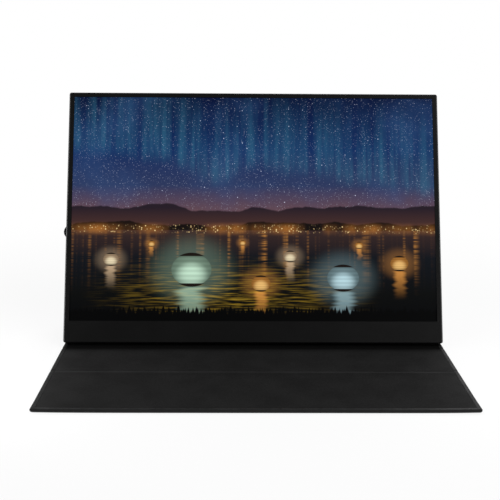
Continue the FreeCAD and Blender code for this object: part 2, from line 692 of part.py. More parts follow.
def flat_socket(height, width, deep):
    """Flat metal socket with its contact tongue, open at the case's right edge."""
    front = "board_front - socket_tall"
    shell = box((f"socket_face - {deep}", "socket_face"), span(height, width), depth(front, "board_front"))
    mouth = box((f"socket_face - {deep} + socket_end", f"socket_face + {OVERCUT}"),
                span(height, f"{width} - 2 * shell_t"),
                depth(f"{front} + shell_t", "board_front - shell_t"))
    tongue = box((f"socket_face - {deep} + socket_end / 2", "socket_face - tongue_back"),
                 span(height, f"{width} - 2 * shell_t - 2 * tongue_side"),
                 span("socket_tall / 2 - board_front", "tongue_t"))
    return joined(cut(shell, mouth), tongue)


def sockets(place):
    """Two usb sockets, one small picture socket and the audio jack in the right edge."""
    usb = [flat_socket(height, "usb_w", "usb_d") for height in ("usb_y", "usb_y + usb_pitch")]
    piece("usb_c_sockets", group(*usb), place)
    piece("mini_hdmi_socket", flat_socket("hdmi_y", "hdmi_w", "hdmi_d"), place)
    jack_face = "inner_side - port_fit"
    centre = ("jack_y", "0 - jack_mid")
    block = box(("socket_face - jack_d", jack_face), span("jack_y", "jack_w"),
                span("0 - jack_mid", "jack_tall"))
    nose = rod("x", centre, (f"{jack_face} - {OVERCUT}", "socket_face"), "jack_nose")
    hole = rod("x", centre, ("socket_face - jack_d + socket_end", f"socket_face + {OVERCUT}"), "jack_bore")
    piece("audio_jack", cut(joined(block, nose), hole), place)


def key_board(place):
    """Small board behind the left edge with the two switches, and its flat cable."""
    key_y = ("dial_y - key_under", "dial_y + key_over")
    board = box(("key_left", "key_right"), key_y, depth("board_front", "board_back"))
    through = depth(f"board_front - {OVERCUT}", f"board_back + {OVERCUT}")
    holes = [rod("z", spot, through, "pin_screw_r + hole_fit") for spot in board_holes()[4:]]
    piece("key_board", cut(board, *holes), place)
    tall = depth("board_front - tact_tall", "board_front")
    piece("dial_switch", plate(("switch_x", "switch_x + switch_d"), span("dial_y", "sled_w"), tall), place)
    piece("power_switch", plate(("tact_x", "tact_x + tact_d"), span("button_y", "tact_w"), tall), place)
    cable = plate(("key_right - ribbon_lap", "main_left + ribbon_lap"), span("button_y + button_len", "sled_w"),
                  depth("inner_back - ribbon_t", "inner_back"))
    piece("key_cable", cable, place)


def jog_dial(place):
    """Carriage that slides under the dial, and the ribbed dial on its pivot."""
    body = doc.addObject("PartDesign::Body", "DialCarriage")
    sled = outline(body, "XY_Plane", "0 - sled_back",
                   rectangle(("key_left", "sled_end"), span("dial_y", "sled_w")))
    extrude(body, "Pad", sled, "sled_t")
    add_rod(body, "z", ("dial_x", "dial_y"), depth("dial_front - run_fit", "sled_back"), "pivot_r")
    piece("dial_carriage", body, place)
    wheel = doc.addObject("PartDesign::Body", "JogDial")
    add_rod(wheel, "z", ("0", "0"), ("0", "dial_t"), "dial_r")
    bore(wheel, "z", ("0", "0"), (f"0 - {OVERCUT}", f"dial_t + {OVERCUT}"), "pivot_r + run_fit / 2")
    doc.recompute()
    groove = bore(wheel, "z", ("dial_r", "0"), (f"0 - {OVERCUT}", f"dial_t + {OVERCUT}"), "rib_r")
    doc.recompute()
    pattern = wheel.newObject("PartDesign::PolarPattern", "Ribs")
    pattern.Originals = [groove]
    pattern.Axis = (plane_of(wheel, "Z_Axis"), [""])
    pattern.Angle = 360
    pattern.setExpression("Occurrences", bound("dial_ribs"))
    wheel.Tip = pattern
    shift = FreeCAD.Vector(value("dial_x"), value("dial_y"), -value("dial_back"))
    piece("jog_dial", wheel, place.multiply(FreeCAD.Placement(shift, FreeCAD.Rotation())))


def power_button(place):
    """Power key with the flange that keeps it in the wall."""
    body = doc.addObject("PartDesign::Body", "PowerButton")
    wide = span("0 - button_depth", "button_w")
    low, high = span("button_y", "button_len")
    bind_box(body.newObject("PartDesign::AdditiveBox", "Cap"),
             ("0 - case_w / 2 - button_proud", "flange_in"), (low, high), wide)
    side = -value("case_w") / 2 - value("button_proud")
    dress(body, "Chamfer", "Size", "button_proud / 2",
          lambda edge: abs(edge.BoundBox.XMin - side) + abs(edge.BoundBox.XMax - side) < CLOSE)
    bind_box(body.newObject("PartDesign::AdditiveBox", "Flange"),
             ("flange_in - flange_t", "flange_in"), (f"{low} - flange_lap", f"{high} + flange_lap"),
             span("0 - button_depth", "button_w + 2 * flange_lap"))
    piece("power_button", body, place)


def mirrored_x(span_x, side):
    """Give a span on the right side, or the same span on the left."""
    if side > 0:
        return span_x
    return (f"0 - ({span_x[1]})", f"0 - ({span_x[0]})")


def speakers(place):
    """A flat speaker and a foam ring behind the slots of each side wall."""
    boxes = []
    rings = []
    tall = depth("speaker_front", "inner_back")
    along = ("speaker_low", "speaker_low + speaker_h")
    for side in (1, -1):
        body = box(mirrored_x(("speaker_face - speaker_w", "speaker_face"), side), along, tall)
        cone = box(mirrored_x(("speaker_face - cone_d", f"speaker_face + {OVERCUT}"), side),
                   span("speaker_mid", "speaker_h - 2 * cone_in"),
                   span("0 - speaker_depth", "speaker_tall - 2 * foam_rim"))
        boxes.append(cut(body, cone))
        pad = box(mirrored_x(("speaker_face", "inner_side"), side), along, tall)
        hole = box(mirrored_x((f"speaker_face - {OVERCUT}", f"inner_side + {OVERCUT}"), side),
                   span("speaker_mid", "speaker_h - 2 * foam_rim"),
                   span("0 - speaker_depth", "speaker_tall - 2 * foam_rim"))
        rings.append(cut(pad, hole))
    piece("speakers", group(*boxes), place)
    piece("speaker_foam", group(*rings), place)


def lead_tube(points, radius):
    """Sweep a round lead along straight runs joined by tangent arcs, all at one depth."""
    edges = []
    start = points[0]
    for before, corner, after in zip(points, points[1:], points[2:]):
        back = (before - corner).normalize()
        ahead = (after - corner).normalize()
        half = back.getAngle(ahead) / 2
        reach = 0.45 * min((before - corner).Length, (after - corner).Length)
        enter, leave = corner + back * reach, corner + ahead * reach
        centre = corner + (back + ahead).normalize() * (reach / math.cos(half))
        nearest = centre + (corner - centre).normalize() * (reach * math.tan(half))
        edges.append(Part.LineSegment(start, enter).toShape())
        edges.append(Part.Arc(enter, nearest, leave).toShape())
        start = leave
    edges.append(Part.LineSegment(start, points[-1]).toShape())
    path = Part.Wire(edges)
    circle = Part.Wire(Part.Circle(points[0], points[1] - points[0], radius).toShape())
    tube = path.makePipeShell([circle], True, False)
    print(f"lead length {path.Length:.1f} mm, tube volume ratio",
          round(tube.Volume / (math.pi * radius ** 2 * path.Length), 4))
    return tube


def speaker_leads(place):
    """Thin leads taped inside the back, from each speaker to the main board's lower edge."""
    level = value("lead_r") - value("inner_back")
    inner = value("speaker_face") - value("speaker_w")
    middle = value("speaker_mid")
    board = FreeCAD.Vector(value("main_left") + 2 * value("hole_in"), value("main_low"), level)
    left = [
        FreeCAD.Vector(-inner, middle, level),
        FreeCAD.Vector(-inner + 40, middle, level),
        FreeCAD.Vector(-inner + 90, middle - 14, level),
        FreeCAD.Vector(board.x - 70, middle - 14, level),
        FreeCAD.Vector(board.x, middle - 2, level),
        board,
    ]
    right_x = value("speaker_face") - value("speaker_w") / 2
    top = value("speaker_low") + value("speaker_h")
    right = [FreeCAD.Vector(right_x, top, level), FreeCAD.Vector(right_x, value("main_low"), level)]
    leads = doc.addObject("Part::Feature", "SpeakerLeads")
    leads.Shape = Part.makeCompound([lead_tube(route, value("lead_r")) for route in (left, right)])
    piece("speaker_leads", leads, place)


def magnet_spots():
    """List the magnets' middles on the monitor's back as x and y expressions."""
    return [(f"{side} * magnet_x", y) for side in (-1, 1) for y in ("magnet_low", "magnet_high")]


def case_magnets(place):
    """Flat magnets inside the rear cover."""
    bars = [box(span(x, "magnet_w"), span(y, "magnet_h"), depth("inner_back - magnet_t", "inner_back"))
            for x, y in magnet_spots()]
    piece("case_magnets", group(*bars), place)


# Cover panels

FREE = "free edge"
KEEPS = "crease with the round welt on this panel"
TURNS = "crease whose welt is on the neighbour"
BUTTS = "crease that stays flat"


def along(length, from_end, offset):
    """Measure an offset from a panel's start, or back from its end."""
    return f"{length} - ({offset})" if from_end else offset


def ordered(first, second, from_end):
    """Put two offsets in rising order."""
    return (second, first) if from_end else (first, second)


def panel_skin(name, length, ends, place):
    """Outer skin: the sheet, its turned-in borders, and the thin webs into the creases."""
    half = ("0 - cover_w / 2", "cover_w / 2")
    block_y, board_y, lining_y = [], [], []
    webs = []
    for from_end, kind in enumerate(ends):
        if kind == FREE:
            offsets = ("0", "skin_t", "border_w")
        else:
            offsets = ("crease_half", f"crease_half - {OVERCUT}", f"crease_half - {OVERCUT}")
            start = "web_gap" if kind == TURNS else "0"
            web_y = ordered(along(length, from_end, start), along(length, from_end, "crease_half"), from_end)
            webs.append(box(half, web_y, ("0", "skin_t")))
        if kind == KEEPS:
            webs.append(rod("x", (along(length, from_end, "0"), "axis_h"), half, "axis_h"))
        for ends_list, offset in zip((block_y, board_y, lining_y), offsets):
            ends_list.append(along(length, from_end, offset))
    corner_r, skin_t = value("cover_corner_r"), value("skin_t")
    free_at = [value_of(block_y[k]) for k, kind in enumerate(ends) if kind == FREE]
    block = box(half, block_y, ("0", "cover_t"))
    hollow = box(("skin_t - cover_w / 2", "cover_w / 2 - skin_t"), board_y, ("skin_t", "stiff_top"))
    if free_at:
        block = rounded(block, corner_r, lambda edge: upright(edge) and near(edge, free_at))
        inner_at = [value_of(board_y[k]) for k, kind in enumerate(ends) if kind == FREE]
        hollow = rounded(hollow, corner_r - skin_t, lambda edge: upright(edge) and near(edge, inner_at))
    opening = box(("border_w - cover_w / 2", "cover_w / 2 - border_w"), lining_y,
                  ("stiff_top", f"cover_t + {OVERCUT}"))
    piece(f"{name}_skin", joined(cut(block, hollow, opening), *webs), place)


def near(edge, places):
    """Tell whether an edge stands at one of some y places."""
    return any(abs(edge.CenterOfMass.y - y) < CLOSE for y in places)


def value_of(offset):
    """Work out a panel offset that is a sum of sizes and numbers."""
    total = 0.0
    for sign, word in re.findall(r"([+-]?)\s*\(?([a-z_]+|[0-9.]+)\)?", offset):
        size = value(word) if word in HOME else float(word)
        total += -size if sign == "-" else size
    return total


def panel_board(name, length, ends, place, slots=()):
    """Stiffener board inside the skin, with slots for magnets where it has them."""
    board_y = [along(length, from_end, "skin_t" if kind == FREE else "crease_half + lining_t")
               for from_end, kind in enumerate(ends)]
    board = plate(("skin_t - cover_w / 2", "cover_w / 2 - skin_t"), board_y, ("skin_t", "stiff_top"))
    free_at = [value_of(board_y[k]) for k, kind in enumerate(ends) if kind == FREE]
    if free_at:
        dress(board, "Fillet", "Radius", "cover_corner_r - skin_t",
              lambda edge: upright(edge) and near(edge, free_at))
    for slot in slots:
        window(board, *slot)
    piece(f"{name}_board", board, place)


def panel_lining(name, length, ends, place):
    """Lining: it covers the board, turns down its edge and runs on into the crease."""
    lower, upper = [], []
    for from_end, kind in enumerate(ends):
        if kind == FREE:
            edge = along(length, from_end, "border_w + lining_fit")
            lower.append([(edge, "stiff_top")])
            upper.append([(edge, "stiff_top + lining_t")])
            continue
        tip = along(length, from_end, "0" if kind == BUTTS else "web_gap")
        turn_out = along(length, from_end, "crease_half")
        turn_in = along(length, from_end, "crease_half + lining_t")
        lower.append([(tip, "skin_t"), (turn_in, "skin_t"), (turn_in, "stiff_top")])
        upper.append([(tip, "skin_t + lining_t"), (turn_out, "skin_t + lining_t"),
                      (turn_out, "stiff_top + lining_t")])
    profile = lower[0] + lower[1][::-1] + upper[1] + upper[0][::-1]
    body = doc.addObject("PartDesign::Body", "Lining")
    sketch = outline(body, "YZ_Plane", "0", profile)
    extrude(body, "Pad", sketch, "cover_w - 2 * (border_w + lining_fit)", midplane=True)
    piece(f"{name}_lining", body, place)


def cover():
    """Six panels of the cover, from its front edge to its back edge."""
    on_back = back_panel_place()
    panels = [
        ("front", "front_len", (FREE, TURNS), table_place("front_y")),
        ("middle", "middle_len", (KEEPS, TURNS), table_place("crease_y")),
        ("rear", "rear_len", (KEEPS, BUTTS), table_place("flap_y")),
        ("spine", "spine_len", (BUTTS, KEEPS), table_place("spine_y")),
        ("strut", "strut_len", (TURNS, KEEPS), strut_place()),
        ("back", "back_len", (TURNS, FREE), on_back),
    ]
    through = (f"skin_t - {OVERCUT}", f"stiff_top + {OVERCUT}")
    on_panel = [(x, f"{y} - fold_height") for x, y in magnet_spots()]
    slots = [(span(x, "magnet_w + 2 * magnet_fit"), span(y, "magnet_h + 2 * magnet_fit"), through)
             for x, y in on_panel]
    bars = [box(span(x, "magnet_w"), span(y, "magnet_h"), ("skin_t", "stiff_top")) for x, y in on_panel]
    for name, length, ends, place in panels:
        panel_skin(name, length, ends, place)
        panel_board(name, length, ends, place, slots if name == "back" else ())
        panel_lining(name, length, ends, place)
    piece("cover_magnets", group(*bars), on_back)


def build():
    """Make every piece of the monitor and of its cover."""
    fill_sheets()
    place = monitor_place()
    for make in (rear_cover, front_bezel, case_screws, screen_stack, panel_driver, main_board, board_screws,
                 sockets, key_board, jog_dial, power_button, speakers, speaker_leads, case_magnets):
        make(place)
    cover()
    doc.recompute()


def write():
    """Check every object, then write each piece to its own file."""
    failed = [item.Label for item in doc.Objects if {"Invalid", "Error"} & set(item.State)]
    if failed:
        raise RuntimeError(f"failed objects: {failed}")
    for item in pieces:
        if item.Shape.isNull() or not item.Shape.isValid() or not item.Shape.Solids:
            raise RuntimeError(f"bad shape: {item.Label}")
    os.makedirs("parts", exist_ok=True)
    for item in pieces:
        item.Shape.exportStep(f"parts/{item.Label}.step")
    for alias in ("edge_y", "edge_z", "fold_y", "fold_z", "heel_y", "axis_h", "flap_y", "crease_y", "front_y",
                  "spine_y", "rear_len", "dial_x"):
        print(alias, round(value(alias), 4))


build()
write()
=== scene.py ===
"""Portable monitor leaning in its folding cover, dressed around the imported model."""

import json
import logging
import math
from collections.abc import Callable
from dataclasses import dataclass, field
from enum import Enum

import bmesh
import bpy
from mathutils import Matrix, Vector

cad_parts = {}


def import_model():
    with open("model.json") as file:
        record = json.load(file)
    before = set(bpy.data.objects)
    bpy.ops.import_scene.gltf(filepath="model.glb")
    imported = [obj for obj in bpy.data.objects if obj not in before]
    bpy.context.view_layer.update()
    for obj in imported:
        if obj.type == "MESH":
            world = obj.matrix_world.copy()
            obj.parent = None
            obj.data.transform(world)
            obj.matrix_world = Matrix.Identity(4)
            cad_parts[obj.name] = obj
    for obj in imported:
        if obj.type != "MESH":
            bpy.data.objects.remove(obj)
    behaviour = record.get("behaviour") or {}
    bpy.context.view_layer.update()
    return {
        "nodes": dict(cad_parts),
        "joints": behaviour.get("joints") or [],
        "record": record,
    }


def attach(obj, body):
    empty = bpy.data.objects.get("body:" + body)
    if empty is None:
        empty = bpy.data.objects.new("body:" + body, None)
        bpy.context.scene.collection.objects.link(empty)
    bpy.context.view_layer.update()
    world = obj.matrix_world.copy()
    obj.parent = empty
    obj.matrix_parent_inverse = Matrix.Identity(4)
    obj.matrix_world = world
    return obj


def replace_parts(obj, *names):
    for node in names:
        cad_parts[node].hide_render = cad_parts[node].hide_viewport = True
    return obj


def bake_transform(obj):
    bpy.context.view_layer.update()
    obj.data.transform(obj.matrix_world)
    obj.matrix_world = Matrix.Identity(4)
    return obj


log = logging.getLogger("portable_monitor")

MM = 0.001
Colour = tuple[float, float, float]
Wire = bpy.types.NodeSocket
Feed = Wire | float | tuple
Seat = Callable[[float, float, float], Vector]

# Places of the colour mix node's factor, two colours and result among its sockets.
MIX_INPUTS, MIX_RESULT = (0, 6, 7), 2
# How much smoother a grain's tops are than its hollows, and how much rougher the rubbed rim
# and the places painted lighter with it are.
TOP_GLOSS, RIM_DULL = 0.12, 0.12
# Share of the grain that the rubbed rim and the places painted lighter with it lose, and the
# least that they are paled in patches.
RIM_FLAT, RIM_LEAST = 0.75, 0.7
# Width over which the painted highlight on a side edge fades in, in millimetres.
HIGHLIGHT_FADE = 0.6
# Drifts of a finish's colour in a metre, their detail, and the noise between which they go.
CLOUDS, CLOUD_DETAIL, CLOUD_SPAN = 35.0, 6.0, (0.3, 0.7)
# Noise between which the rubbed rim and the painted light go from least to most pale.
PATCH_SPAN = (0.35, 0.7)
# Least roughness of a finish.
LEAST_ROUGHNESS = 0.05
# Distance under which two points of the cover are one, in millimetres.
TOUCH = 1e-6


def smooth(share: float) -> float:
    """Ease a share from 0 to 1."""
    share = min(max(share, 0.0), 1.0)
    return share * share * (3.0 - 2.0 * share)


def bell(offset: float, half: float) -> float:
    """Give 1 at no offset, and less to both sides of it."""
    return math.exp(-(offset / half) ** 2)


def grey(level: float) -> Colour:
    """Give a neutral colour."""
    return level, level, level


def spread(start: float, end: float, step: float) -> list[float]:
    """List evenly spaced places strictly between two ends.

    Args:
        start: First end.
        end: Second end.
        step: Largest distance between neighbours.

    Returns:
        The places, without the ends.
    """
    count = max(1, math.ceil((end - start) / step))
    return [start + (end - start) * k / count for k in range(1, count)]


def placed(name: str, data: bpy.types.ID) -> bpy.types.Object:
    """Add an object to the scene.

    Args:
        name: Name of the object.
        data: Its mesh, lamp or camera.

    Returns:
        The object.
    """
    thing = bpy.data.objects.new(name, data)
    bpy.context.scene.collection.objects.link(thing)
    return thing


def poured(shell: bmesh.types.BMesh, name: str) -> bpy.types.Mesh:
    """Turn a shell into a mesh, and free the shell.

    Args:
        shell: Shell that is ready.
        name: Name of the mesh.

    Returns:
        The mesh.
    """
    mesh = bpy.data.meshes.new(name)
    shell.to_mesh(mesh)
    shell.free()
    return mesh


def rounded(shell: bmesh.types.BMesh, edges: list[bmesh.types.BMEdge], width: float) -> None:
    """Round some edges of a shell."""
    bmesh.ops.bevel(shell, geom=edges, offset=width, segments=2, profile=0.5, affect="EDGES")


class Graph:
    """Builder for one material's node tree."""

    def __init__(self, name: str) -> None:
        """Start a material with its principled shader.

        Args:
            name: Name of the material.
        """
        self.material = bpy.data.materials.new(name)
        self.material.use_nodes = True
        self.tree = self.material.node_tree
        self.shader = self.tree.nodes["Principled BSDF"]

    def feed(self, socket: Wire, value: Feed) -> None:
        """Link a socket, or set its value.

        Args:
            socket: Input to feed.
            value: Output that is linked to it, or a plain value.
        """
        if isinstance(value, Wire):
            self.tree.links.new(value, socket)
        else:
            socket.default_value = value

    def fix(self, **values: float | tuple) -> None:
        """Set plain values on the shader's own sockets, named with underscores for spaces."""
        for name, value in values.items():
            self.shader.inputs[name.replace("_", " ")].default_value = value

    def add(self, kind: str, settings: dict | None = None, **inputs: Feed) -> bpy.types.Node:
        """Add a node.

        Args:
            kind: Node type without its prefix.
            settings: Properties of the node.
            inputs: Inputs by name, with underscores for spaces.

        Returns:
            The node.
        """
        node = self.tree.nodes.new(f"ShaderNode{kind}")
        for name, value in (settings or {}).items():
            setattr(node, name, value)
        for name, value in inputs.items():
            self.feed(node.inputs[name.replace("_", " ")], value)
        return node

    def math(self, operation: str, *values: Feed, clamp: bool = False) -> Wire:
        """Do one sum on values or sockets.

        Args:
            operation: Name of the sum.
            values: What goes into it.
            clamp: Whether the result is kept from 0 to 1.

        Returns:
            The result.
        """
        node = self.add("Math", {"operation": operation, "use_clamp": clamp})
        for socket, value in zip(node.inputs, values):
            self.feed(socket, value)
        return node.outputs[0]

    def times(self, *values: Feed) -> Wire:
        """Multiply values or sockets.

        Args:
            values: Two factors or more.

        Returns:
            Their product.
        """
        product = values[0]
        for value in values[1:]:
            product = self.math("MULTIPLY", product, value)
        return product

    def scaled(self, value: Feed, scale: Feed, shift: Feed) -> Wire:
        """Scale a value, then shift it."""
        return self.math("MULTIPLY_ADD", value, scale, shift)

    def minus(self, value: Feed, other: Feed) -> Wire:
        """Take one value from another."""
        return self.math("SUBTRACT", value, other)

    def ease(self, value: Feed, start: float, end: float) -> Wire:
        """Ease from 0 to 1 as a value goes from start to end.

        Args:
            value: The value.
            start: Where the result is 0, below or above the end.
            end: Where the result is 1.

        Returns:
            The eased value.
        """
        kind = {"interpolation_type": "SMOOTHSTEP"}
        low, high, out = (start, end, (0.0, 1.0)) if start < end else (end, start, (1.0, 0.0))
        return self.add("MapRange", kind, Value=value, From_Min=low, From_Max=high,
                        To_Min=out[0], To_Max=out[1]).outputs[0]

    def mix(self, factor: Feed, first: Feed, second: Feed, mode: str = "MIX") -> Wire:
        """Mix two colours.

        Args:
            factor: Share of the second colour.
            first: First colour.
            second: Second colour.
            mode: How they are mixed.

        Returns:
            The mixed colour.
        """
        node = self.add("Mix", {"data_type": "RGBA", "blend_type": mode})
        for place, value in zip(MIX_INPUTS, (factor, first, second)):
            self.feed(node.inputs[place], (*value, 1.0) if isinstance(value, tuple) else value)
        return node.outputs[MIX_RESULT]

    def shaded(self, colour: Feed, share: Wire) -> Wire:
        """Darken a colour to a share of itself."""
        return self.mix(1.0, colour, self.vector(share, share, share), "MULTIPLY")

    def ramp(self, factor: Feed, stops: list[tuple[float, Colour]]) -> Wire:
        """Colour a value by stops.

        Args:
            factor: The value.
            stops: Places and their colours, in rising order.

        Returns:
            The colour.
        """
        node = self.add("ValToRGB")
        elements = node.color_ramp.elements
        while len(elements) < len(stops):
            elements.new(1.0)
        for element, (place, colour) in zip(elements, stops):
            element.position = place
            element.color = (*colour, 1.0)
        self.feed(node.inputs[0], factor)
        return node.outputs[0]

    def noise(self, vector: Feed, scale: float, detail: float = 2.0) -> Wire:
        """Give a noise value."""
        return self.add("TexNoise", Vector=vector, Scale=scale, Detail=detail).outputs[0]

    def vector(self, x: Feed, y: Feed, z: Feed = 0.0) -> Wire:
        """Join three numbers to a vector."""
        return self.add("CombineXYZ", X=x, Y=y, Z=z).outputs[0]

    def first(self, vector: Wire) -> Wire:
        """Give a vector's first number."""
        return self.add("SeparateXYZ", Vector=vector).outputs[0]

    def attribute(self, name: str) -> Wire:
        """Read one of the mesh's own attributes."""
        return self.add("Attribute", {"attribute_name": name}).outputs["Fac"]

    def place(self) -> Wire:
        """Give the place on the object, in metres."""
        return self.add("TexCoord").outputs["Object"]


class Grain(Enum):
    """Surface textures of the finishes."""

    PEBBLE = "pressed leather grain"
    NAP = "short soft nap"
    MOULDED = "spark-eroded mould texture"
    BLASTED = "fine blasted metal"
    BRUSHED = "rolled or drawn sheet"
    SMOOTH = "smooth film or glass"


# Detail of each grain's noise.
GRAIN_DETAIL = {Grain.NAP: 5.0, Grain.MOULDED: 3.0, Grain.BLASTED: 1.0, Grain.BRUSHED: 4.0,
                Grain.SMOOTH: 0.0}
# Noise between which a grain goes from hollow to top.
GRAIN_SPAN = (0.25, 0.75)
# Scale that draws a sheet's grain out into lines.
DRAWN_LINES = (1.0, 0.06, 0.06)


@dataclass(frozen=True)
class Finish:
    """One finish: its colour, gloss and surface grain.

    The cell and the relief of the grain are in millimetres. The grain's tone and shade is how much
    paler its tops are than its hollows: partly the grain's own tone, partly painted shade in the
    hollows. The mottle is how far the colour drifts over the piece. The wear and light paling makes
    the rubbed rim paler, with painted light beside the long hems and a painted highlight by the
    flap's crease. The painted shade share is the share of its colour lost where shade is painted in
    the creases, under the monitor's front edge and beside the flap's crease. The edge highlight is
    the half width at which the side edges are painted lighter as a highlight, in millimetres, and
    their grey.
    """

    name: str
    colour: Colour
    roughness: float
    grain: Grain
    cell: float = 0.5
    relief: float = 0.03
    metallic: float = 0.0
    specular: float = 0.35
    mottle: float = 0.15
    tone_and_hollow_shade: float = 0.08
    wear_light_paling: float = 0.0
    painted_shade_share: float = 0.0
    edge_highlight: tuple[float, float] | None = None

    def pebble(self, graph: Graph, place: Wire, per_metre: float) -> Wire:
        """Make the height of pressed leather: small domes and wider folds.

        Args:
            graph: Material being built.
            place: Place on the object.
            per_metre: Domes in a metre.

        Returns:
            Height from 0 to 1.
        """
        bend_share, bend_rate, dome_edge = 0.5, 0.6, 0.24
        fold_share, fold_rate, fold_detail, fold_span = 0.35, 0.2, 5.0, (0.38, 0.62)
        warped = graph.add("VectorMath", {"operation": "ADD"})
        bend = graph.add("VectorMath", {"operation": "SCALE"}, Scale=bend_share * self.cell * MM)
        drift = graph.add("TexNoise", Vector=place, Scale=per_metre * bend_rate)
        graph.feed(bend.inputs[0], drift.outputs[1])
        graph.feed(warped.inputs[0], place)
        graph.feed(warped.inputs[1], bend.outputs[0])
        cells = graph.add("TexVoronoi", {"feature": "DISTANCE_TO_EDGE"}, Vector=warped.outputs[0],
                          Scale=per_metre)
        domes = graph.ease(cells.outputs["Distance"], 0.0, dome_edge)
        folds = graph.ease(graph.noise(place, per_metre * fold_rate, fold_detail), *fold_span)
        return graph.scaled(folds, fold_share, graph.times(domes, 1.0 - fold_share))

    def height(self, graph: Graph, place: Wire) -> Wire:
        """Make the grain's height.

        Args:
            graph: Material being built.
            place: Place on the object.

        Returns:
            Height from about 0 to 1.
        """
        per_metre = 1.0 / (self.cell * MM)
        if self.grain is Grain.PEBBLE:
            return self.pebble(graph, place, per_metre)
        detail = GRAIN_DETAIL[self.grain]
        if self.grain is Grain.BRUSHED:
            drawn = graph.add("Mapping", Vector=place, Scale=DRAWN_LINES)
            return graph.noise(drawn.outputs[0], per_metre, detail)
        return graph.ease(graph.noise(place, per_metre, detail), *GRAIN_SPAN)

    def material(self) -> bpy.types.Material:
        """Build the material.

        Returns:
            The material, or the one that is there already.
        """
        known = bpy.data.materials.get(self.name)
        if known:
            return known
        graph = Graph(self.name)
        place = graph.place()
        grain = self.height(graph, place)
        cloud = graph.noise(place, CLOUDS, CLOUD_DETAIL)
        dark = tuple(c * (1.0 - self.mottle) for c in self.colour)
        light = tuple(c * (1.0 + self.mottle) for c in self.colour)
        tint = graph.mix(graph.ease(cloud, *CLOUD_SPAN), dark, light)
        # Tops paler than hollows: partly the grain's own tone, partly painted shade in the hollows.
        tint = graph.shaded(tint, graph.scaled(grain, 2.0 * self.tone_and_hollow_shade, 1.0 - self.tone_and_hollow_shade))
        gloss = graph.scaled(grain, -TOP_GLOSS, self.roughness + TOP_GLOSS / 2.0)
        strength = 1.0
        # Rubbed rim paler, with painted light beside the long hems and a painted highlight by the
        # flap's crease.
        if self.wear_light_paling:
            wear_light_mask = graph.attribute("wear_light_mask")
            patchy = graph.scaled(graph.ease(cloud, *PATCH_SPAN), 1.0 - RIM_LEAST, RIM_LEAST)
            worn_and_lit = tuple(c + self.wear_light_paling for c in self.colour)
            tint = graph.mix(graph.times(wear_light_mask, patchy), tint, worn_and_lit)
            gloss = graph.scaled(wear_light_mask, RIM_DULL, gloss)
            strength = graph.scaled(wear_light_mask, -RIM_FLAT, 1.0)
        # Painted shade: the colour darkened in the creases, under the monitor's front edge and beside
        # the flap's crease.
        if self.painted_shade_share:
            shadow_tint = tuple(c * (1.0 - self.painted_shade_share) for c in self.colour)
            tint = graph.mix(graph.attribute("painted_shade"), tint, shadow_tint)
        # Painted highlight: the side edges paler, standing in for the light caught on their fillets.
        if self.edge_highlight:
            start, level = self.edge_highlight
            across = graph.math("ABSOLUTE", graph.first(place))
            highlight = graph.ease(across, start * MM, (start + HIGHLIGHT_FADE) * MM)
            tint = graph.mix(highlight, tint, grey(level))
        graph.feed(graph.shader.inputs["Base Color"], tint)
        graph.feed(graph.shader.inputs["Roughness"], graph.math("MAXIMUM", gloss, LEAST_ROUGHNESS))
        graph.fix(Metallic=self.metallic, Specular_IOR_Level=self.specular)
        if self.relief:
            bump = graph.add("Bump", Height=grain, Distance=self.relief * MM, Strength=strength)
            graph.feed(graph.shader.inputs["Normal"], bump.outputs[0])
        return graph.material


LEATHER = Finish("cover_leather", (0.0072, 0.0072, 0.0074), 0.44, Grain.PEBBLE, 1.5, 0.16, 0.0, 0.22,
                 0.26, 0.55, wear_light_paling=0.004, painted_shade_share=0.6)
HEM = Finish("cover_hem", grey(0.0095), 0.56, Grain.PEBBLE, 1.5, 0.10, 0.0, 0.06,
             0.18, 0.42, wear_light_paling=0.001, painted_shade_share=0.6)
LINING = Finish("cover_lining_nap", grey(0.0110), 0.92, Grain.NAP, 1.1, 0.06, 0.0, 0.02,
                0.12, 0.14, wear_light_paling=0.016, painted_shade_share=0.85)
# Bezel with its side edges painted lighter as a highlight.
BEZEL = Finish("bezel_plastic", grey(0.0028), 0.34, Grain.MOULDED, 0.5, 0.02, 0.0, 0.04,
               0.12, 0.12, edge_highlight=(175.9, 0.06))
DIAL = Finish("dial_rubber", grey(0.0022), 0.75, Grain.NAP, 0.4, 0.02, 0.0, 0.02, tone_and_hollow_shade=0.2)
BLACK_STEEL = Finish("blackened_steel", (0.03, 0.03, 0.032), 0.38, Grain.BRUSHED, 0.2, 0.004, 1.0)
FOAM = Finish("black_foam", grey(0.012), 0.95, Grain.NAP, 0.5, 0.05, 0.0, 0.1, tone_and_hollow_shade=0.3)
FILM = Finish("white_film", (0.82, 0.83, 0.83), 0.3, Grain.SMOOTH, 3.0, 0.0, 0.0, 0.4, 0.03, 0.02)
SHEET = Finish("stamped_sheet", (0.62, 0.63, 0.64), 0.35, Grain.BRUSHED, 0.25, 0.004, 1.0)
BOARD = Finish("solder_mask", (0.012, 0.10, 0.045), 0.35, Grain.SMOOTH, 1.2, 0.004, 0.0, 0.5)
FLEX = Finish("amber_flex", (0.42, 0.20, 0.035), 0.35, Grain.SMOOTH, 1.0, 0.003)
CHIP = Finish("chip_package", (0.016, 0.016, 0.017), 0.6, Grain.MOULDED, 0.3, 0.01, 0.0, 0.2)
LEAD = Finish("lead_sleeve", grey(0.015), 0.5, Grain.SMOOTH, 0.8, 0.004)
FIBRE = Finish("fibre_board", (0.26, 0.25, 0.235), 0.9, Grain.NAP, 0.6, 0.03, 0.0, 0.2, tone_and_hollow_shade=0.2)
KEY = Finish("key_plastic", grey(0.008), 0.42, Grain.MOULDED, 0.4, 0.015, 0.0, 0.2)
GOLD = Finish("contact_gold", (0.83, 0.55, 0.16), 0.28, Grain.BRUSHED, 0.1, 0.001, 1.0)
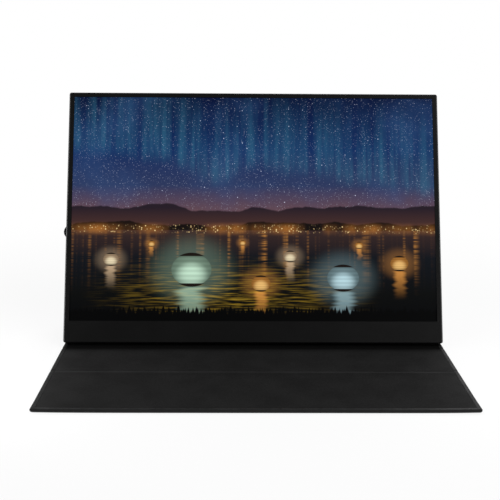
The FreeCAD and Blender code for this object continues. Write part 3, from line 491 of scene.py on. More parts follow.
TONGUE = Finish("tongue_resin", grey(0.006), 0.55, Grain.MOULDED, 0.3, 0.005, 0.0, 0.1)
CASE = Finish("case_anodised", (0.030, 0.030, 0.031), 0.46, Grain.BLASTED, 0.22, 0.012, 0.75,
              tone_and_hollow_shade=0.14)
SHELL = Finish("socket_shell", (0.40, 0.40, 0.41), 0.34, Grain.BRUSHED, 0.15, 0.002, 1.0)
FINISHES = {
    "case_back": CASE,
    "bezel_black": BEZEL,
    "screw_black": BLACK_STEEL,
    "foam_black": FOAM,
    "film_white": FILM,
    "tray_metal": SHEET,
    "board_green": BOARD,
    "flex_amber": FLEX,
    "ribbon_white": FILM,
    "chip_black": CHIP,
    "shield_steel": SHEET,
    "socket_steel": SHELL,
    "jack_black": CHIP,
    "lead_black": LEAD,
    "magnet_steel": SHEET,
    "key_black": KEY,
    "cover_skin": LEATHER,
    "cover_board": FIBRE,
    "cover_lining": LINING,
}


def finished(name: str, mesh: bpy.types.Mesh, slot: str, body: str | None,
             *materials: Finish) -> bpy.types.Object:
    """Link a mesh as a piece, and give it its finishes and its body.

    Args:
        name: Name of the piece.
        mesh: Mesh in the row frame, in metres.
        slot: Material slot of the record; not used.
        body: Body that carries the piece, or None where it bends between two.
        materials: Finishes in the order of the mesh's material slots.

    Returns:
        The piece.
    """
    mesh.name = name
    piece = placed(name, mesh)
    for finish in materials:
        mesh.materials.append(finish.material())
    if body:
        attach(piece, body)
    return piece


class End(Enum):
    """How a cover panel ends."""

    FREE = "free edge"
    CREASE = "crease with a deep groove inside"
    BRIDGED = "crease that the lining bridges in a shallow valley"
    TUCKED = "shallow crease close under the monitor's front edge"


@dataclass(frozen=True)
class Panel:
    """One stiff panel of the cover, or the web of a crease.

    Lengths are in millimetres. The panel starts at a point in the plane of Y and Z, at the height of
    the crease axes, and runs at an angle from the Y axis.
    """

    name: str
    start: tuple[float, float]
    angle: float
    length: float
    ends: tuple[End, End]
    curl: float = 0.0


@dataclass
class FoldingCover:
    """Cover of six stiff panels in one sheet of leather, lined inside. Lengths are in millimetres."""

    joints: dict[str, dict]
    # Outline
    half_width: float = 177.25
    thick: float = 3.0
    border: float = 4.0
    roll: float = 1.3
    corner: float = 2.5
    # Panels
    front_length: float = 90.6
    spine_length: float = 14.6
    back_length: float = 121.5
    lean: float = 20.5
    # Creases
    web: float = 1.4
    web_half: float = 3.4
    tight_bend: float = 2.4
    shoulder: float = 2.2
    bridge: float = 2.3
    bridge_half: float = 3.3
    # Lining and the lines pressed along the hem
    lining_drop: float = 0.22
    lining_lap: float = 0.1
    lining_step: float = 0.4
    hem_lap: float = 0.06
    line_depth: float = 0.16
    inner_half: float = 0.22
    outer_line: float = 2.6
    outer_half: float = 0.35
    # Slackness of the sheet
    sag: float = 0.10
    sag_from: float = 6.0
    sag_reach: float = 25.0
    crease_reach: float = 20.0
    short_wave: tuple[float, float] = (37.0, 21.0)
    short_start: tuple[float, float] = (1.3, 0.4)
    short_share: float = 0.6
    long_wave: tuple[float, float] = (71.0, 27.0)
    front_curl: float = 0.6
    curl_reach: float = 35.0
    curl_power: int = 8
    # Painted shade in deep creases, under the monitor's front edge and beside the flap's crease
    crease_shade_peak: float = 1.2
    painted_shade_reach: float = 11.0
    tuck_shade_peak: float = 0.78
    tuck_shade_reach: float = 18.0
    tuck_shade_fade: float = 3.0
    dent_shade: float = 0.16
    dent_shade_in: float = 8.8
    dent_shade_half: float = 2.0
    # Rubbed edge, painted light beside the long hems, painted highlight by the flap's crease
    edge_rub: float = 1.6
    fold_highlight: float = 2.6
    fold_highlight_half: float = 1.4
    hem_light: float = 0.36
    hem_light_reach: float = 8.0
    # Rows and columns of the meshes
    row_step: float = 6.0
    column_step: float = 8.0
    web_step: float = 0.4
    insets: tuple[float, ...] = (0.0, 0.04, 0.12, 0.25, 0.45, 0.7, 1.0, 1.3, 1.8, 2.5, 3.2, 3.75, 3.95,
                                 4.15, 4.4, 4.8, 6.5)
    valley: tuple[float, ...] = (3.4, 3.65, 3.9, 4.2, 4.5, 4.8, 5.1, 5.4, 5.6, 6.5, 8.0, 10.0, 12.0)

    def __post_init__(self) -> None:
        """Read the creases' axes from the joints and lay out the panels."""
        front, flap, heel, fold = (
            tuple(v / MM for v in self.joints[name]["pos_m"][1:])
            for name in ("front_fold", "flap_fold", "stand_fold", "back_fold"))
        self.level = heel[1]
        rise = math.degrees(math.atan2(fold[1] - heel[1], fold[0] - heel[0]))
        spine_y = heel[0] - self.spine_length
        crease = (End.CREASE, End.CREASE)
        self.panels = {
            "front": Panel("front", (front[0] - self.front_length, self.level), 0.0, self.front_length,
                           (End.FREE, End.BRIDGED), self.front_curl),
            "middle": Panel("middle", front, 0.0, flap[0] - front[0], (End.BRIDGED, End.TUCKED)),
            "rear": Panel("rear", flap, 0.0, spine_y - flap[0], (End.TUCKED, End.CREASE)),
            "spine": Panel("spine", (spine_y, self.level), 0.0, self.spine_length, crease),
            "strut": Panel("strut", heel, rise, math.dist(heel, fold), crease),
            "back": Panel("back", fold, 90.0 - self.lean, self.back_length, (End.CREASE, End.FREE)),
        }

    def inset(self, x: float, s: float, panel: Panel) -> float:
        """Measure how far a point lies inside the cover's outline.

        Args:
            x: Place across the cover.
            s: Place along the panel.
            panel: The panel.

        Returns:
            Distance from the nearest free edge.
        """
        side = self.half_width - abs(x)
        found = side
        for end, t in zip(panel.ends, (s, panel.length - s)):
            if end is not End.FREE:
                continue
            if side < self.corner and t < self.corner:
                found = min(found, self.corner - math.hypot(self.corner - side, self.corner - t))
            else:
                found = min(found, t)
        return max(found, 0.0)

    def crown(self, s: float, panel: Panel) -> tuple[float, float]:
        """Work out the panel's height beside its creases.

        Args:
            s: Place along the panel.
            panel: The panel.

        Returns:
            Height of the inner side, and how slack the sheet lies there, from 0 to 1.
        """
        height, slack = self.thick, 1.0
        for end, t in zip(panel.ends, (abs(s), abs(panel.length - s))):
            if end is End.CREASE:
                rise = smooth((t - self.web_half) / self.shoulder)
                height = min(height, self.web + (self.thick - self.web) * rise)
            if end in (End.BRIDGED, End.TUCKED):
                rise = smooth(t / self.bridge_half)
                height = min(height, self.bridge + (self.thick - self.bridge) * rise)
            if end is not End.FREE:
                slack = min(slack, smooth((t - self.web_half) / self.crease_reach))
        return height, slack

    def wave(self, x: float, s: float) -> float:
        """Work out the slack sheet's waves.

        Args:
            x: Place across the cover.
            s: Place along the panel.

        Returns:
            Height from -1 to 1.
        """
        across, along = (math.sin(t / reach + start)
                         for t, reach, start in zip((x, s), self.short_wave, self.short_start))
        slow = math.sin(x / self.long_wave[0] + s / self.long_wave[1])
        return self.short_share * across * along + (1.0 - self.short_share) * slow

    def heights(self, x: float, s: float, panel: Panel) -> tuple[float, float, float]:
        """Work out the lower and upper surface.

        Args:
            x: Place across the cover.
            s: Place along the panel.
            panel: The panel.

        Returns:
            Lower height, upper height and inset.
        """
        inset = self.inset(x, s, panel)
        top, slack = self.crown(s, panel)
        middle = top / 2.0
        round_off = math.sqrt(1.0 - (1.0 - min(inset / self.roll, 1.0)) ** 2)
        lined = smooth((inset - self.border + self.lining_lap) / self.lining_step)
        line = bell(inset - self.border - self.lining_lap, self.inner_half)
        slack *= smooth((inset - self.sag_from) / self.sag_reach)
        wave = self.wave(x, s)
        upper = middle + (top - middle) * round_off - self.lining_drop * lined - self.line_depth * line
        upper += self.sag * wave * slack
        lower = middle * (1.0 - round_off) + self.sag * (1.0 + wave) * slack
        lower += self.line_depth * bell(inset - self.outer_line, self.outer_half)
        lift = panel.curl * (abs(x) / self.half_width) ** self.curl_power
        lift *= max(0.0, 1.0 - s / self.curl_reach) ** 2
        return lower + lift, upper + lift, inset

    def painted_shade(self, s: float, panel: Panel) -> float:
        """Tell how much shade is painted on the inner side at a place.

        Args:
            s: Place along the panel.
            panel: The panel.

        Returns:
            1 in a deep crease and under the monitor, little beside the flap's crease, 0 elsewhere.
        """
        found = 0.0
        for end, t in zip(panel.ends, (s, s - panel.length)):
            # Painted shade in a deep crease.
            if end is End.CREASE:
                found = max(found, smooth(self.crease_shade_peak - abs(t) / self.painted_shade_reach))
            # Painted shadow under the monitor's front edge, fading out over the flap in front of it.
            if end is End.TUCKED:
                fade = smooth(self.tuck_shade_fade - t / self.painted_shade_reach)
                found = max(found, smooth(self.tuck_shade_peak + t / self.tuck_shade_reach) * fade)
        # Painted shade: a dark line beside the flap's crease.
        if panel.ends[1] is End.BRIDGED:
            found = max(found, self.dent_shade * bell(panel.length - s - self.dent_shade_in, self.dent_shade_half))
        return found

    def wear_and_light(self, x: float, s: float, inset: float, panel: Panel) -> float:
        """Tell how pale the sheet is made at a place, by rubbing and by painted light.

        Args:
            x: Place across the cover.
            s: Place along the panel.
            inset: Distance from the nearest free edge.
            panel: The panel.

        Returns:
            1 at the outer edge and by the flap's crease, less beside the long hems, 0 elsewhere.
        """
        found = 1.0 - min(inset / (self.edge_rub * self.roll), 1.0)
        # Painted light: the sheet paler beside the long hems, where light falls from the sides.
        lined = max(self.half_width - abs(x) - self.border, 0.0)
        found = max(found, self.hem_light * math.exp(-lined / self.hem_light_reach))
        # Painted highlight: a pale line by the flap's crease.
        for end, t in zip(panel.ends, (s + self.fold_highlight, panel.length - s - self.fold_highlight)):
            if end is End.BRIDGED:
                found = max(found, bell(t, self.fold_highlight_half))
        return found

    def stations(self, panel: Panel) -> list[float]:
        """List the rows of a panel's mesh.

        Args:
            panel: The panel.

        Returns:
            Places along the panel.
        """
        sides = [self.insets if end is End.FREE else self.valley for end in panel.ends]
        low = list(sides[0])
        high = [panel.length - t for t in reversed(sides[1])]
        while low[-1] >= high[0]:
            low.pop()
            high.pop(0)
        return low + spread(low[-1], high[0], self.row_step) + high

    def row(self, s: float, panel: Panel) -> list[float]:
        """List the columns of one row of a panel's mesh.

        Args:
            s: Place of the row along the panel.
            panel: The panel.

        Returns:
            Places across the cover.
        """
        half = self.half_width
        for end, t in zip(panel.ends, (s, panel.length - s)):
            if end is End.FREE and t < self.corner:
                half -= self.corner - math.sqrt(self.corner ** 2 - (self.corner - t) ** 2)
        left = [t - half for t in self.insets]
        return left + spread(left[-1], -left[-1], self.column_step) + [-x for x in reversed(left)]

    def seat(self, x: float, s: float, z: float, panel: Panel) -> Vector:
        """Turn a place on a flat panel into the row frame.

        Args:
            x: Place across the cover.
            s: Place along the panel.
            z: Height above the panel's outer side.
            panel: The panel.

        Returns:
            The place in metres.
        """
        turn = math.radians(panel.angle)
        up = z - self.level
        y = panel.start[0] + s * math.cos(turn) - up * math.sin(turn)
        return Vector((x, y, panel.start[1] + s * math.sin(turn) + up * math.cos(turn))) * MM

    def mesh(self, panel: Panel, rows: list[float], seat: Seat) -> bpy.types.Mesh:
        """Build a closed sheet with rolled edges and a lined inner side.

        Args:
            panel: The panel whose outline and creases give the shape.
            rows: Places along the panel.
            seat: Function from place across, along and above to the row frame.

        Returns:
            The mesh, with leather in slot 0, lining in slot 1 and the hem in slot 2, and with
            attributes for the rubbed rim with its painted light, and for the painted shade.
        """
        shell = bmesh.new()
        wear_light_mask = shell.verts.layers.float.new("wear_light_mask")
        painted_shade = shell.verts.layers.float.new("painted_shade")
        upper, lower, depth = [], [], []
        for s in rows:
            tops, bottoms, insets = [], [], []
            for x in self.row(s, panel):
                low, high, inset = self.heights(x, s, panel)
                tops.append(shell.verts.new(seat(x, s, high)))
                bottoms.append(shell.verts.new(seat(x, s, low)) if inset > TOUCH else tops[-1])
                insets.append(inset)
                # Painted shade on the inner side, and on both sides the rubbed rim with its painted
                # light.
                tops[-1][painted_shade] = self.painted_shade(s, panel)
                for vert in (tops[-1], bottoms[-1]):
                    vert[wear_light_mask] = self.wear_and_light(x, s, inset, panel)
            upper.append(tops)
            lower.append(bottoms)
            depth.append(insets)
        for r in range(len(rows) - 1):
            for c in range(len(upper[r]) - 1):
                spots = ((r, c), (r, c + 1), (r + 1, c + 1), (r + 1, c))
                face = self.quad(shell, [upper[i][j] for i, j in spots])
                if face:
                    lined = min(depth[i][j] for i, j in spots) >= self.border - self.hem_lap
                    face.material_index = 1 if lined else 2
                self.quad(shell, [lower[i][j] for i, j in reversed(spots)])
        for r in (0, len(rows) - 1):
            for c in range(len(upper[r]) - 1):
                cap = self.quad(shell, [upper[r][c], upper[r][c + 1], lower[r][c + 1], lower[r][c]])
                for edge in cap.edges if cap else ():
                    edge.smooth = False
        bmesh.ops.recalc_face_normals(shell, faces=shell.faces)
        for face in shell.faces:
            face.smooth = True
        return poured(shell, panel.name)

    @staticmethod
    def quad(shell: bmesh.types.BMesh, corners: list[bmesh.types.BMVert]) -> bmesh.types.BMFace | None:
        """Add a face between its different corners, or nothing where it has no area."""
        kept = list(dict.fromkeys(corners))
        return shell.faces.new(kept) if len(kept) > 2 else None

    def make_panel(self, key: str, body: str) -> bpy.types.Object:
        """Make one panel of the cover and let it stand for its skin and lining.

        Args:
            key: Which panel.
            body: Body that carries it.

        Returns:
            The piece.
        """
        panel = self.panels[key]
        mesh = self.mesh(panel, self.stations(panel), lambda x, s, z: self.seat(x, s, z, panel))
        piece = finished(f"cover_{key}", mesh, "cover_skin", body, LEATHER, LINING, HEM)
        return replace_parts(piece, f"{key}_skin", f"{key}_lining")

    def make_web(self, name: str, before: str, after: str, bodies: tuple[str, ...],
                 bend: float) -> bpy.types.Object:
        """Make the web of leather and lining across one crease.

        Args:
            name: Name of the piece.
            before: Panel before the crease.
            after: Panel after the crease.
            bodies: The body that carries both panels, or the two bodies on either side.
            bend: Distance from the axis at which the web starts to bend.

        Returns:
            The piece.
        """
        first, second = self.panels[before], self.panels[after]
        turn = math.radians(second.angle - first.angle)
        strip = Panel(name, second.start, first.angle, 0.0, (second.ends[0], second.ends[0]))
        radius = bend / math.tan(abs(turn) / 2.0) if turn else 0.0
        side = math.copysign(1.0, turn)

        def bent(x: float, s: float, z: float) -> Vector:
            """Lead a place on the flat web round the bend.

            Args:
                x: Place across the cover.
                s: Place along the web, from its axis.
                z: Height above the web's outer side.

            Returns:
                The place in metres.
            """
            along, up = s, z - self.level
            if turn and s > -bend:
                part = min((s + bend) / (2.0 * bend), 1.0) * turn
                reach, drop = max(s - bend, 0.0), up - side * radius
                along = -bend + reach * math.cos(part) - drop * math.sin(part)
                up = side * radius + reach * math.sin(part) + drop * math.cos(part)
            return self.seat(x, along, up + self.level, strip)

        rows = [-self.web_half, *spread(-self.web_half, self.web_half, self.web_step), self.web_half]
        piece = finished(name, self.mesh(strip, rows, bent), "cover_skin",
                         bodies[0] if len(bodies) == 1 else None, LEATHER, LINING, HEM)
        if len(bodies) == 2:
            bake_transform(piece)
        return piece

    def build(self) -> list[bpy.types.Object]:
        """Make the panels and the webs between them.

        Returns:
            The pieces.
        """
        bodies = {"front": "flap_front", "middle": "flap_middle", "rear": "base", "spine": "base",
                  "strut": "strut", "back": "monitor"}
        pieces = [self.make_panel(key, body) for key, body in bodies.items()]
        flat, tight = self.web_half, self.tight_bend
        for name, before, after, carriers, bend in (
                ("crease_front", "front", "middle", ("flap_front", "flap_middle"), flat),
                ("crease_flap", "middle", "rear", ("flap_middle", "base"), flat),
                ("crease_spine", "rear", "spine", ("base",), flat),
                ("crease_heel", "spine", "strut", ("base", "strut"), tight),
                ("crease_back", "strut", "back", ("strut", "monitor"), flat)):
            pieces.append(self.make_web(name, before, after, carriers, bend))
        return pieces


class Paper(Enum):
    """Colours of the paper lanterns' light."""

    MINT = (0.44, 0.66, 0.48)
    ICE = (0.38, 0.58, 0.62)
    CREAM = (0.85, 0.60, 0.36)
    AMBER = (0.95, 0.40, 0.08)


@dataclass(frozen=True)
class Lantern:
    """One paper lantern in the picture: its place across and up, its half width and its paper."""

    x: float
    y: float
    size: float
    paper: Paper


@dataclass
class NightPicture:
    """Wallpaper on the lit screen: an evening lake with shore lights under northern lights.

    Places and sizes are shares of the picture's width and height. A layer of stars is given by its
    stars over the height, their size, its scatter and its strength.
    """

    shore: float = 0.40
    aspect: float = 1.6
    stars: tuple[tuple[float, ...], ...] = (
        (95.0, 0.22, 1.0, 0.9), (48.0, 0.13, 2.0, 1.7), (190.0, 0.36, 5.0, 0.75))
    lanterns: tuple[Lantern, ...] = (
        Lantern(0.22, 0.34, 0.016, Paper.AMBER), Lantern(0.47, 0.345, 0.014, Paper.AMBER),
        Lantern(0.79, 0.335, 0.018, Paper.AMBER), Lantern(0.11, 0.27, 0.034, Paper.CREAM),
        Lantern(0.90, 0.255, 0.040, Paper.AMBER), Lantern(0.60, 0.285, 0.030, Paper.CREAM),
        Lantern(0.33, 0.225, 0.088, Paper.MINT), Lantern(0.745, 0.19, 0.070, Paper.ICE),
        Lantern(0.52, 0.165, 0.042, Paper.AMBER))
    lantern_flat: float = 0.82
    lantern_ribs: float = 21.0
    # Colours
    white: Colour = (0.88, 0.88, 0.90)
    drift: Colour = (0.035, 0.095, 0.25)
    northern_lights: Colour = (0.055, 0.24, 0.36)
    starlight: Colour = (0.78, 0.84, 1.0)
    near_hills: Colour = (0.008, 0.005, 0.0045)
    town_haze: Colour = (0.72, 0.27, 0.05)
    town_lamps: Colour = (1.0, 0.72, 0.32)
    streaks: Colour = (0.85, 0.36, 0.07)
    gilt_water: Colour = (0.40, 0.25, 0.02)
    lantern_caps: Colour = (0.012, 0.008, 0.006)
    reeds: Colour = (0.0008, 0.0009, 0.001)
    # Glass
    glass: float = 0.0006
    roughness: float = 0.42
    specular: float = 0.012
    graph: Graph = field(default_factory=lambda: Graph("screen_picture"))

    def __post_init__(self) -> None:
        """Read the place on the picture, from 0 to 1 across and up."""
        chart = self.graph.add("UVMap", {"uv_map": "picture"})
        spot = self.graph.add("SeparateXYZ", Vector=chart.outputs[0])
        self.u, self.v = spot.outputs[0], spot.outputs[1]
        self.wide = self.graph.times(self.u, self.aspect)

    def under(self, line: Wire, soft: float) -> Wire:
        """Mask everything below a line, with a soft edge."""
        return self.graph.ease(self.graph.minus(self.v, line), soft, -soft)

    def skyline(self, level: float, swing: float, pitch: float, seed: float) -> Wire:
        """Mask everything below a ridge.

        Args:
            level: Height of the ridge.
            swing: How far it rises and falls.
            pitch: Hills across the picture.
            seed: Which stretch of hills.

        Returns:
            1 below the ridge, 0 above.
        """
        g = self.graph
        hills = g.noise(g.vector(self.wide, seed), pitch, 6.0)
        return self.under(g.scaled(hills, swing, level - swing / 2.0), 0.004)

    def points(self, scale: float, size: float, seed: float) -> Wire:
        """Scatter points of light of uneven strength.

        Args:
            scale: Points over the picture's height.
            size: Radius of a point, as a share of the distance between them.
            seed: Which scatter.

        Returns:
            Strength from 0 to 1.
        """
        g = self.graph
        cells = g.add("TexVoronoi", Vector=g.vector(self.wide, self.v, seed), Scale=scale)
        power = g.math("POWER", g.first(cells.outputs["Color"]), 4.0)
        return g.times(g.ease(cells.outputs["Distance"], size, 0.0), power)

    def sky(self) -> Wire:
        """Colour the sky with its glow, curtains of light and stars.

        Returns:
            The colour.
        """
        g = self.graph
        colour = g.ramp(self.v, [
            (0.40, (0.36, 0.17, 0.10)), (0.48, (0.15, 0.075, 0.085)), (0.60, (0.03, 0.045, 0.12)),
            (0.76, (0.006, 0.028, 0.12)), (1.0, (0.001, 0.004, 0.034))])
        sway = g.times(g.noise(g.vector(self.wide, 3.0), 2.2, 3.0), 0.34)
        foot = g.scaled(self.u, -0.16, g.math("ADD", sway, 0.56))
        over = g.minus(self.v, foot)
        rays = g.noise(g.vector(g.times(self.wide, 26.0), g.times(self.v, 1.4)), 1.0, 3.0)
        curtain = g.times(g.ease(over, -0.02, 0.07), g.ease(over, 0.46, 0.02), g.ease(rays, 0.3, 0.85))
        drift = g.noise(g.vector(self.wide, self.v, 7.0), 3.2, 6.0)
        colour = g.mix(g.times(g.ease(drift, 0.45, 0.8), 0.45), colour, self.drift)
        colour = g.mix(g.times(curtain, 0.55), colour, self.northern_lights)
        for scale, size, seed, strength in self.stars:
            shine = g.times(self.points(scale, size, seed), strength)
            colour = g.mix(shine, colour, self.starlight, "ADD")
        return colour

    def lake(self) -> Wire:
        """Colour the water with the streaks that the shore lights throw on it.

        Returns:
            The colour.
        """
        g = self.graph
        colour = g.ramp(self.v, [(0.0, (0.0010, 0.0012, 0.002)), (0.12, (0.003, 0.0035, 0.0035)),
                                 (0.28, (0.006, 0.008, 0.012)), (0.40, (0.045, 0.024, 0.022))])
        ripple = g.noise(g.vector(g.times(self.wide, 9.0), g.times(self.v, 130.0)), 1.0, 3.0)
        columns = g.noise(g.vector(self.wide, 11.0), 22.0, 2.0)
        streak = g.times(g.ease(columns, 0.48, 0.78), g.ease(ripple, 0.35, 0.7),
                         g.ease(self.v, 0.10, 0.40))
        colour = g.mix(streak, colour, self.streaks)
        away = g.math("ABSOLUTE", g.minus(self.u, 0.44))
        gold = g.times(g.ease(away, 0.42, 0.05), g.ease(self.v, 0.0, 0.10), g.ease(self.v, 0.30, 0.12),
                       g.ease(ripple, 0.42, 0.74), 0.8)
        return g.mix(gold, colour, self.gilt_water)

    def lantern(self, colour: Wire, lamp: Lantern) -> Wire:
        """Float one ribbed paper lantern and its reflection on the lake.

        Args:
            colour: Picture so far.
            lamp: The lantern.

        Returns:
            The picture with the lantern.
        """
        g = self.graph
        tint = lamp.paper.value
        across = g.math("DIVIDE", g.minus(self.wide, lamp.x * self.aspect), lamp.size)
        up = g.math("DIVIDE", g.minus(self.v, lamp.y), self.lantern_flat * lamp.size)
        square = g.math("ADD", g.math("POWER", across, 2.0), g.math("POWER", up, 2.0))
        beneath = g.times(g.ease(up, -5.0, -1.2), g.ease(up, -0.95, -1.15))
        waves = g.times(g.noise(g.vector(3.0, g.times(self.v, 60.0), lamp.x), 1.0, 3.0), 1.5)
        aside = g.math("ABSOLUTE", g.math("ADD", across, g.minus(waves, 0.75)))
        colour = g.mix(g.times(beneath, g.ease(aside, 0.85, 0.2), 0.5), colour, tint)
        glow = g.times(g.ease(square, 8.0, 0.0), 0.42)
        colour = g.mix(g.times(glow, glow), colour, tint, "ADD")
        ribs = g.scaled(g.math("SINE", g.times(up, self.lantern_ribs)), 0.10, 0.90)
        lit = g.times(g.scaled(square, -0.45, 1.0), ribs)
        heart = g.ease(g.math("ADD", square, g.times(up, 0.7)), 0.75, -0.1)
        dim, bright = tuple(0.55 * c for c in tint), tuple(min(1.0, 1.25 * c + 0.1) for c in tint)
        paper = g.shaded(g.mix(heart, dim, bright), lit)
        caps = g.times(g.ease(g.math("ABSOLUTE", up), 0.80, 0.86), g.ease(square, 1.12, 1.04))
        colour = g.mix(g.ease(square, 1.04, 0.94), colour, paper)
        return g.mix(caps, colour, self.lantern_caps)

    def town(self, colour: Wire) -> Wire:
        """Light up the far shore.

        Args:
            colour: Picture so far.

        Returns:
            The picture with the lights and their haze.
        """
        g = self.graph
        off_shore = g.math("ABSOLUTE", g.minus(self.v, self.shore + 0.006))
        houses = g.noise(g.vector(self.wide, 9.0), 5.0, 3.0)
        haze = g.times(g.ease(off_shore, 0.035, 0.0), g.ease(houses, 0.4, 0.7), 0.55)
        colour = g.mix(haze, colour, self.town_haze)
        lamps = g.times(self.points(120.0, 0.5, 8.0), g.ease(off_shore, 0.022, 0.012))
        return g.mix(g.math("MULTIPLY", lamps, 2.2, clamp=True), colour, self.town_lamps)

    def material(self) -> bpy.types.Material:
        """Build the lit screen's material.

        Returns:
            The material.
        """
        g = self.graph
        far, near = self.skyline(0.50, 0.17, 2.6, 0.3), self.skyline(0.43, 0.10, 4.2, 4.0)
        dusk = g.ramp(self.v, [(0.40, (0.085, 0.036, 0.028)), (0.50, (0.022, 0.014, 0.022))])
        colour = g.mix(far, self.sky(), dusk)
        colour = g.mix(near, colour, self.near_hills)
        colour = g.mix(g.ease(self.v, self.shore + 0.002, self.shore - 0.002), colour, self.lake())
        colour = self.town(colour)
        for lamp in self.lanterns:
            colour = self.lantern(colour, lamp)
        blades = g.noise(g.vector(g.times(self.wide, 75.0), 2.0), 1.0, 2.0)
        colour = g.mix(self.under(g.scaled(blades, 0.12, -0.01), 0.006), colour, self.reeds)
        g.feed(g.shader.inputs["Emission Color"], g.mix(1.0, colour, self.white, "MULTIPLY"))
        g.fix(Emission_Strength=1.0, Base_Color=(*grey(self.glass), 1.0), Roughness=self.roughness,
              Specular_IOR_Level=self.specular)
        return g.material


@dataclass(frozen=True)
class Socket:
    """One flat socket: its height up the case, width, tongue width and contacts, in millimetres."""

    up: float
    width: float
    tongue: float
    count: int
    pitch: float


@dataclass
class ContactRow:
    """Row of contact springs along X, made with Geometry Nodes. Lengths are in millimetres."""

    count: int
    pitch: float
    length: float = 3.0
    share: float = 0.55
    height: float = 0.06

    def tree(self) -> bpy.types.GeometryNodeTree:
        """Build the node tree with the row's sizes as named inputs.

        Returns:
            The tree.
        """
        tree = bpy.data.node_groups.new("contact_row", "GeometryNodeTree")
        for name, kind in (("Count", "Int"), ("Pitch", "Float"), ("Spring", "Vector"),
                           ("Finish", "Material")):
            tree.interface.new_socket(name, in_out="INPUT", socket_type=f"NodeSocket{kind}")
        tree.interface.new_socket("Geometry", in_out="OUTPUT", socket_type="NodeSocketGeometry")
        into, out, step, line, spring, copies, real, paint = (tree.nodes.new(kind) for kind in (
            "NodeGroupInput", "NodeGroupOutput", "ShaderNodeCombineXYZ", "GeometryNodeMeshLine",
            "GeometryNodeMeshCube", "GeometryNodeInstanceOnPoints", "GeometryNodeRealizeInstances",
            "GeometryNodeSetMaterial"))
        for source, output, target, entry in (
                (into, "Count", line, "Count"),
                (into, "Pitch", step, "X"),
                (step, 0, line, "Offset"),
                (into, "Spring", spring, "Size"),
                (line, 0, copies, "Points"),
                (spring, 0, copies, "Instance"),
                (copies, 0, real, 0),
                (real, 0, paint, "Geometry"),
                (into, "Finish", paint, "Material"),
                (paint, 0, out, 0)):
            tree.links.new(source.outputs[output], target.inputs[entry])
        return tree

    def mesh(self) -> bpy.types.Mesh:
        """Grow the row and turn it into a plain mesh, centred on the origin.

        Returns:
            The mesh, in millimetres.
        """
        tree = self.tree()
        host = placed("contact_row", bpy.data.meshes.new("contact_row"))
        grown = host.modifiers.new("row", "NODES")
        grown.node_group = tree
        sizes = {"Count": self.count, "Pitch": self.pitch, "Finish": GOLD.material(),
                 "Spring": (self.pitch * self.share, self.length, self.height)}
        for item in tree.interface.items_tree:
            if item.in_out == "INPUT":
                grown[item.identifier] = sizes[item.name]
        ready = host.evaluated_get(bpy.context.evaluated_depsgraph_get())
        mesh = bpy.data.meshes.new_from_object(ready)
        bpy.data.objects.remove(host)
        mesh.transform(Matrix.Translation((-self.pitch * (self.count - 1) / 2.0, 0.0, 0.0)))
        mesh.materials.clear()
        return mesh


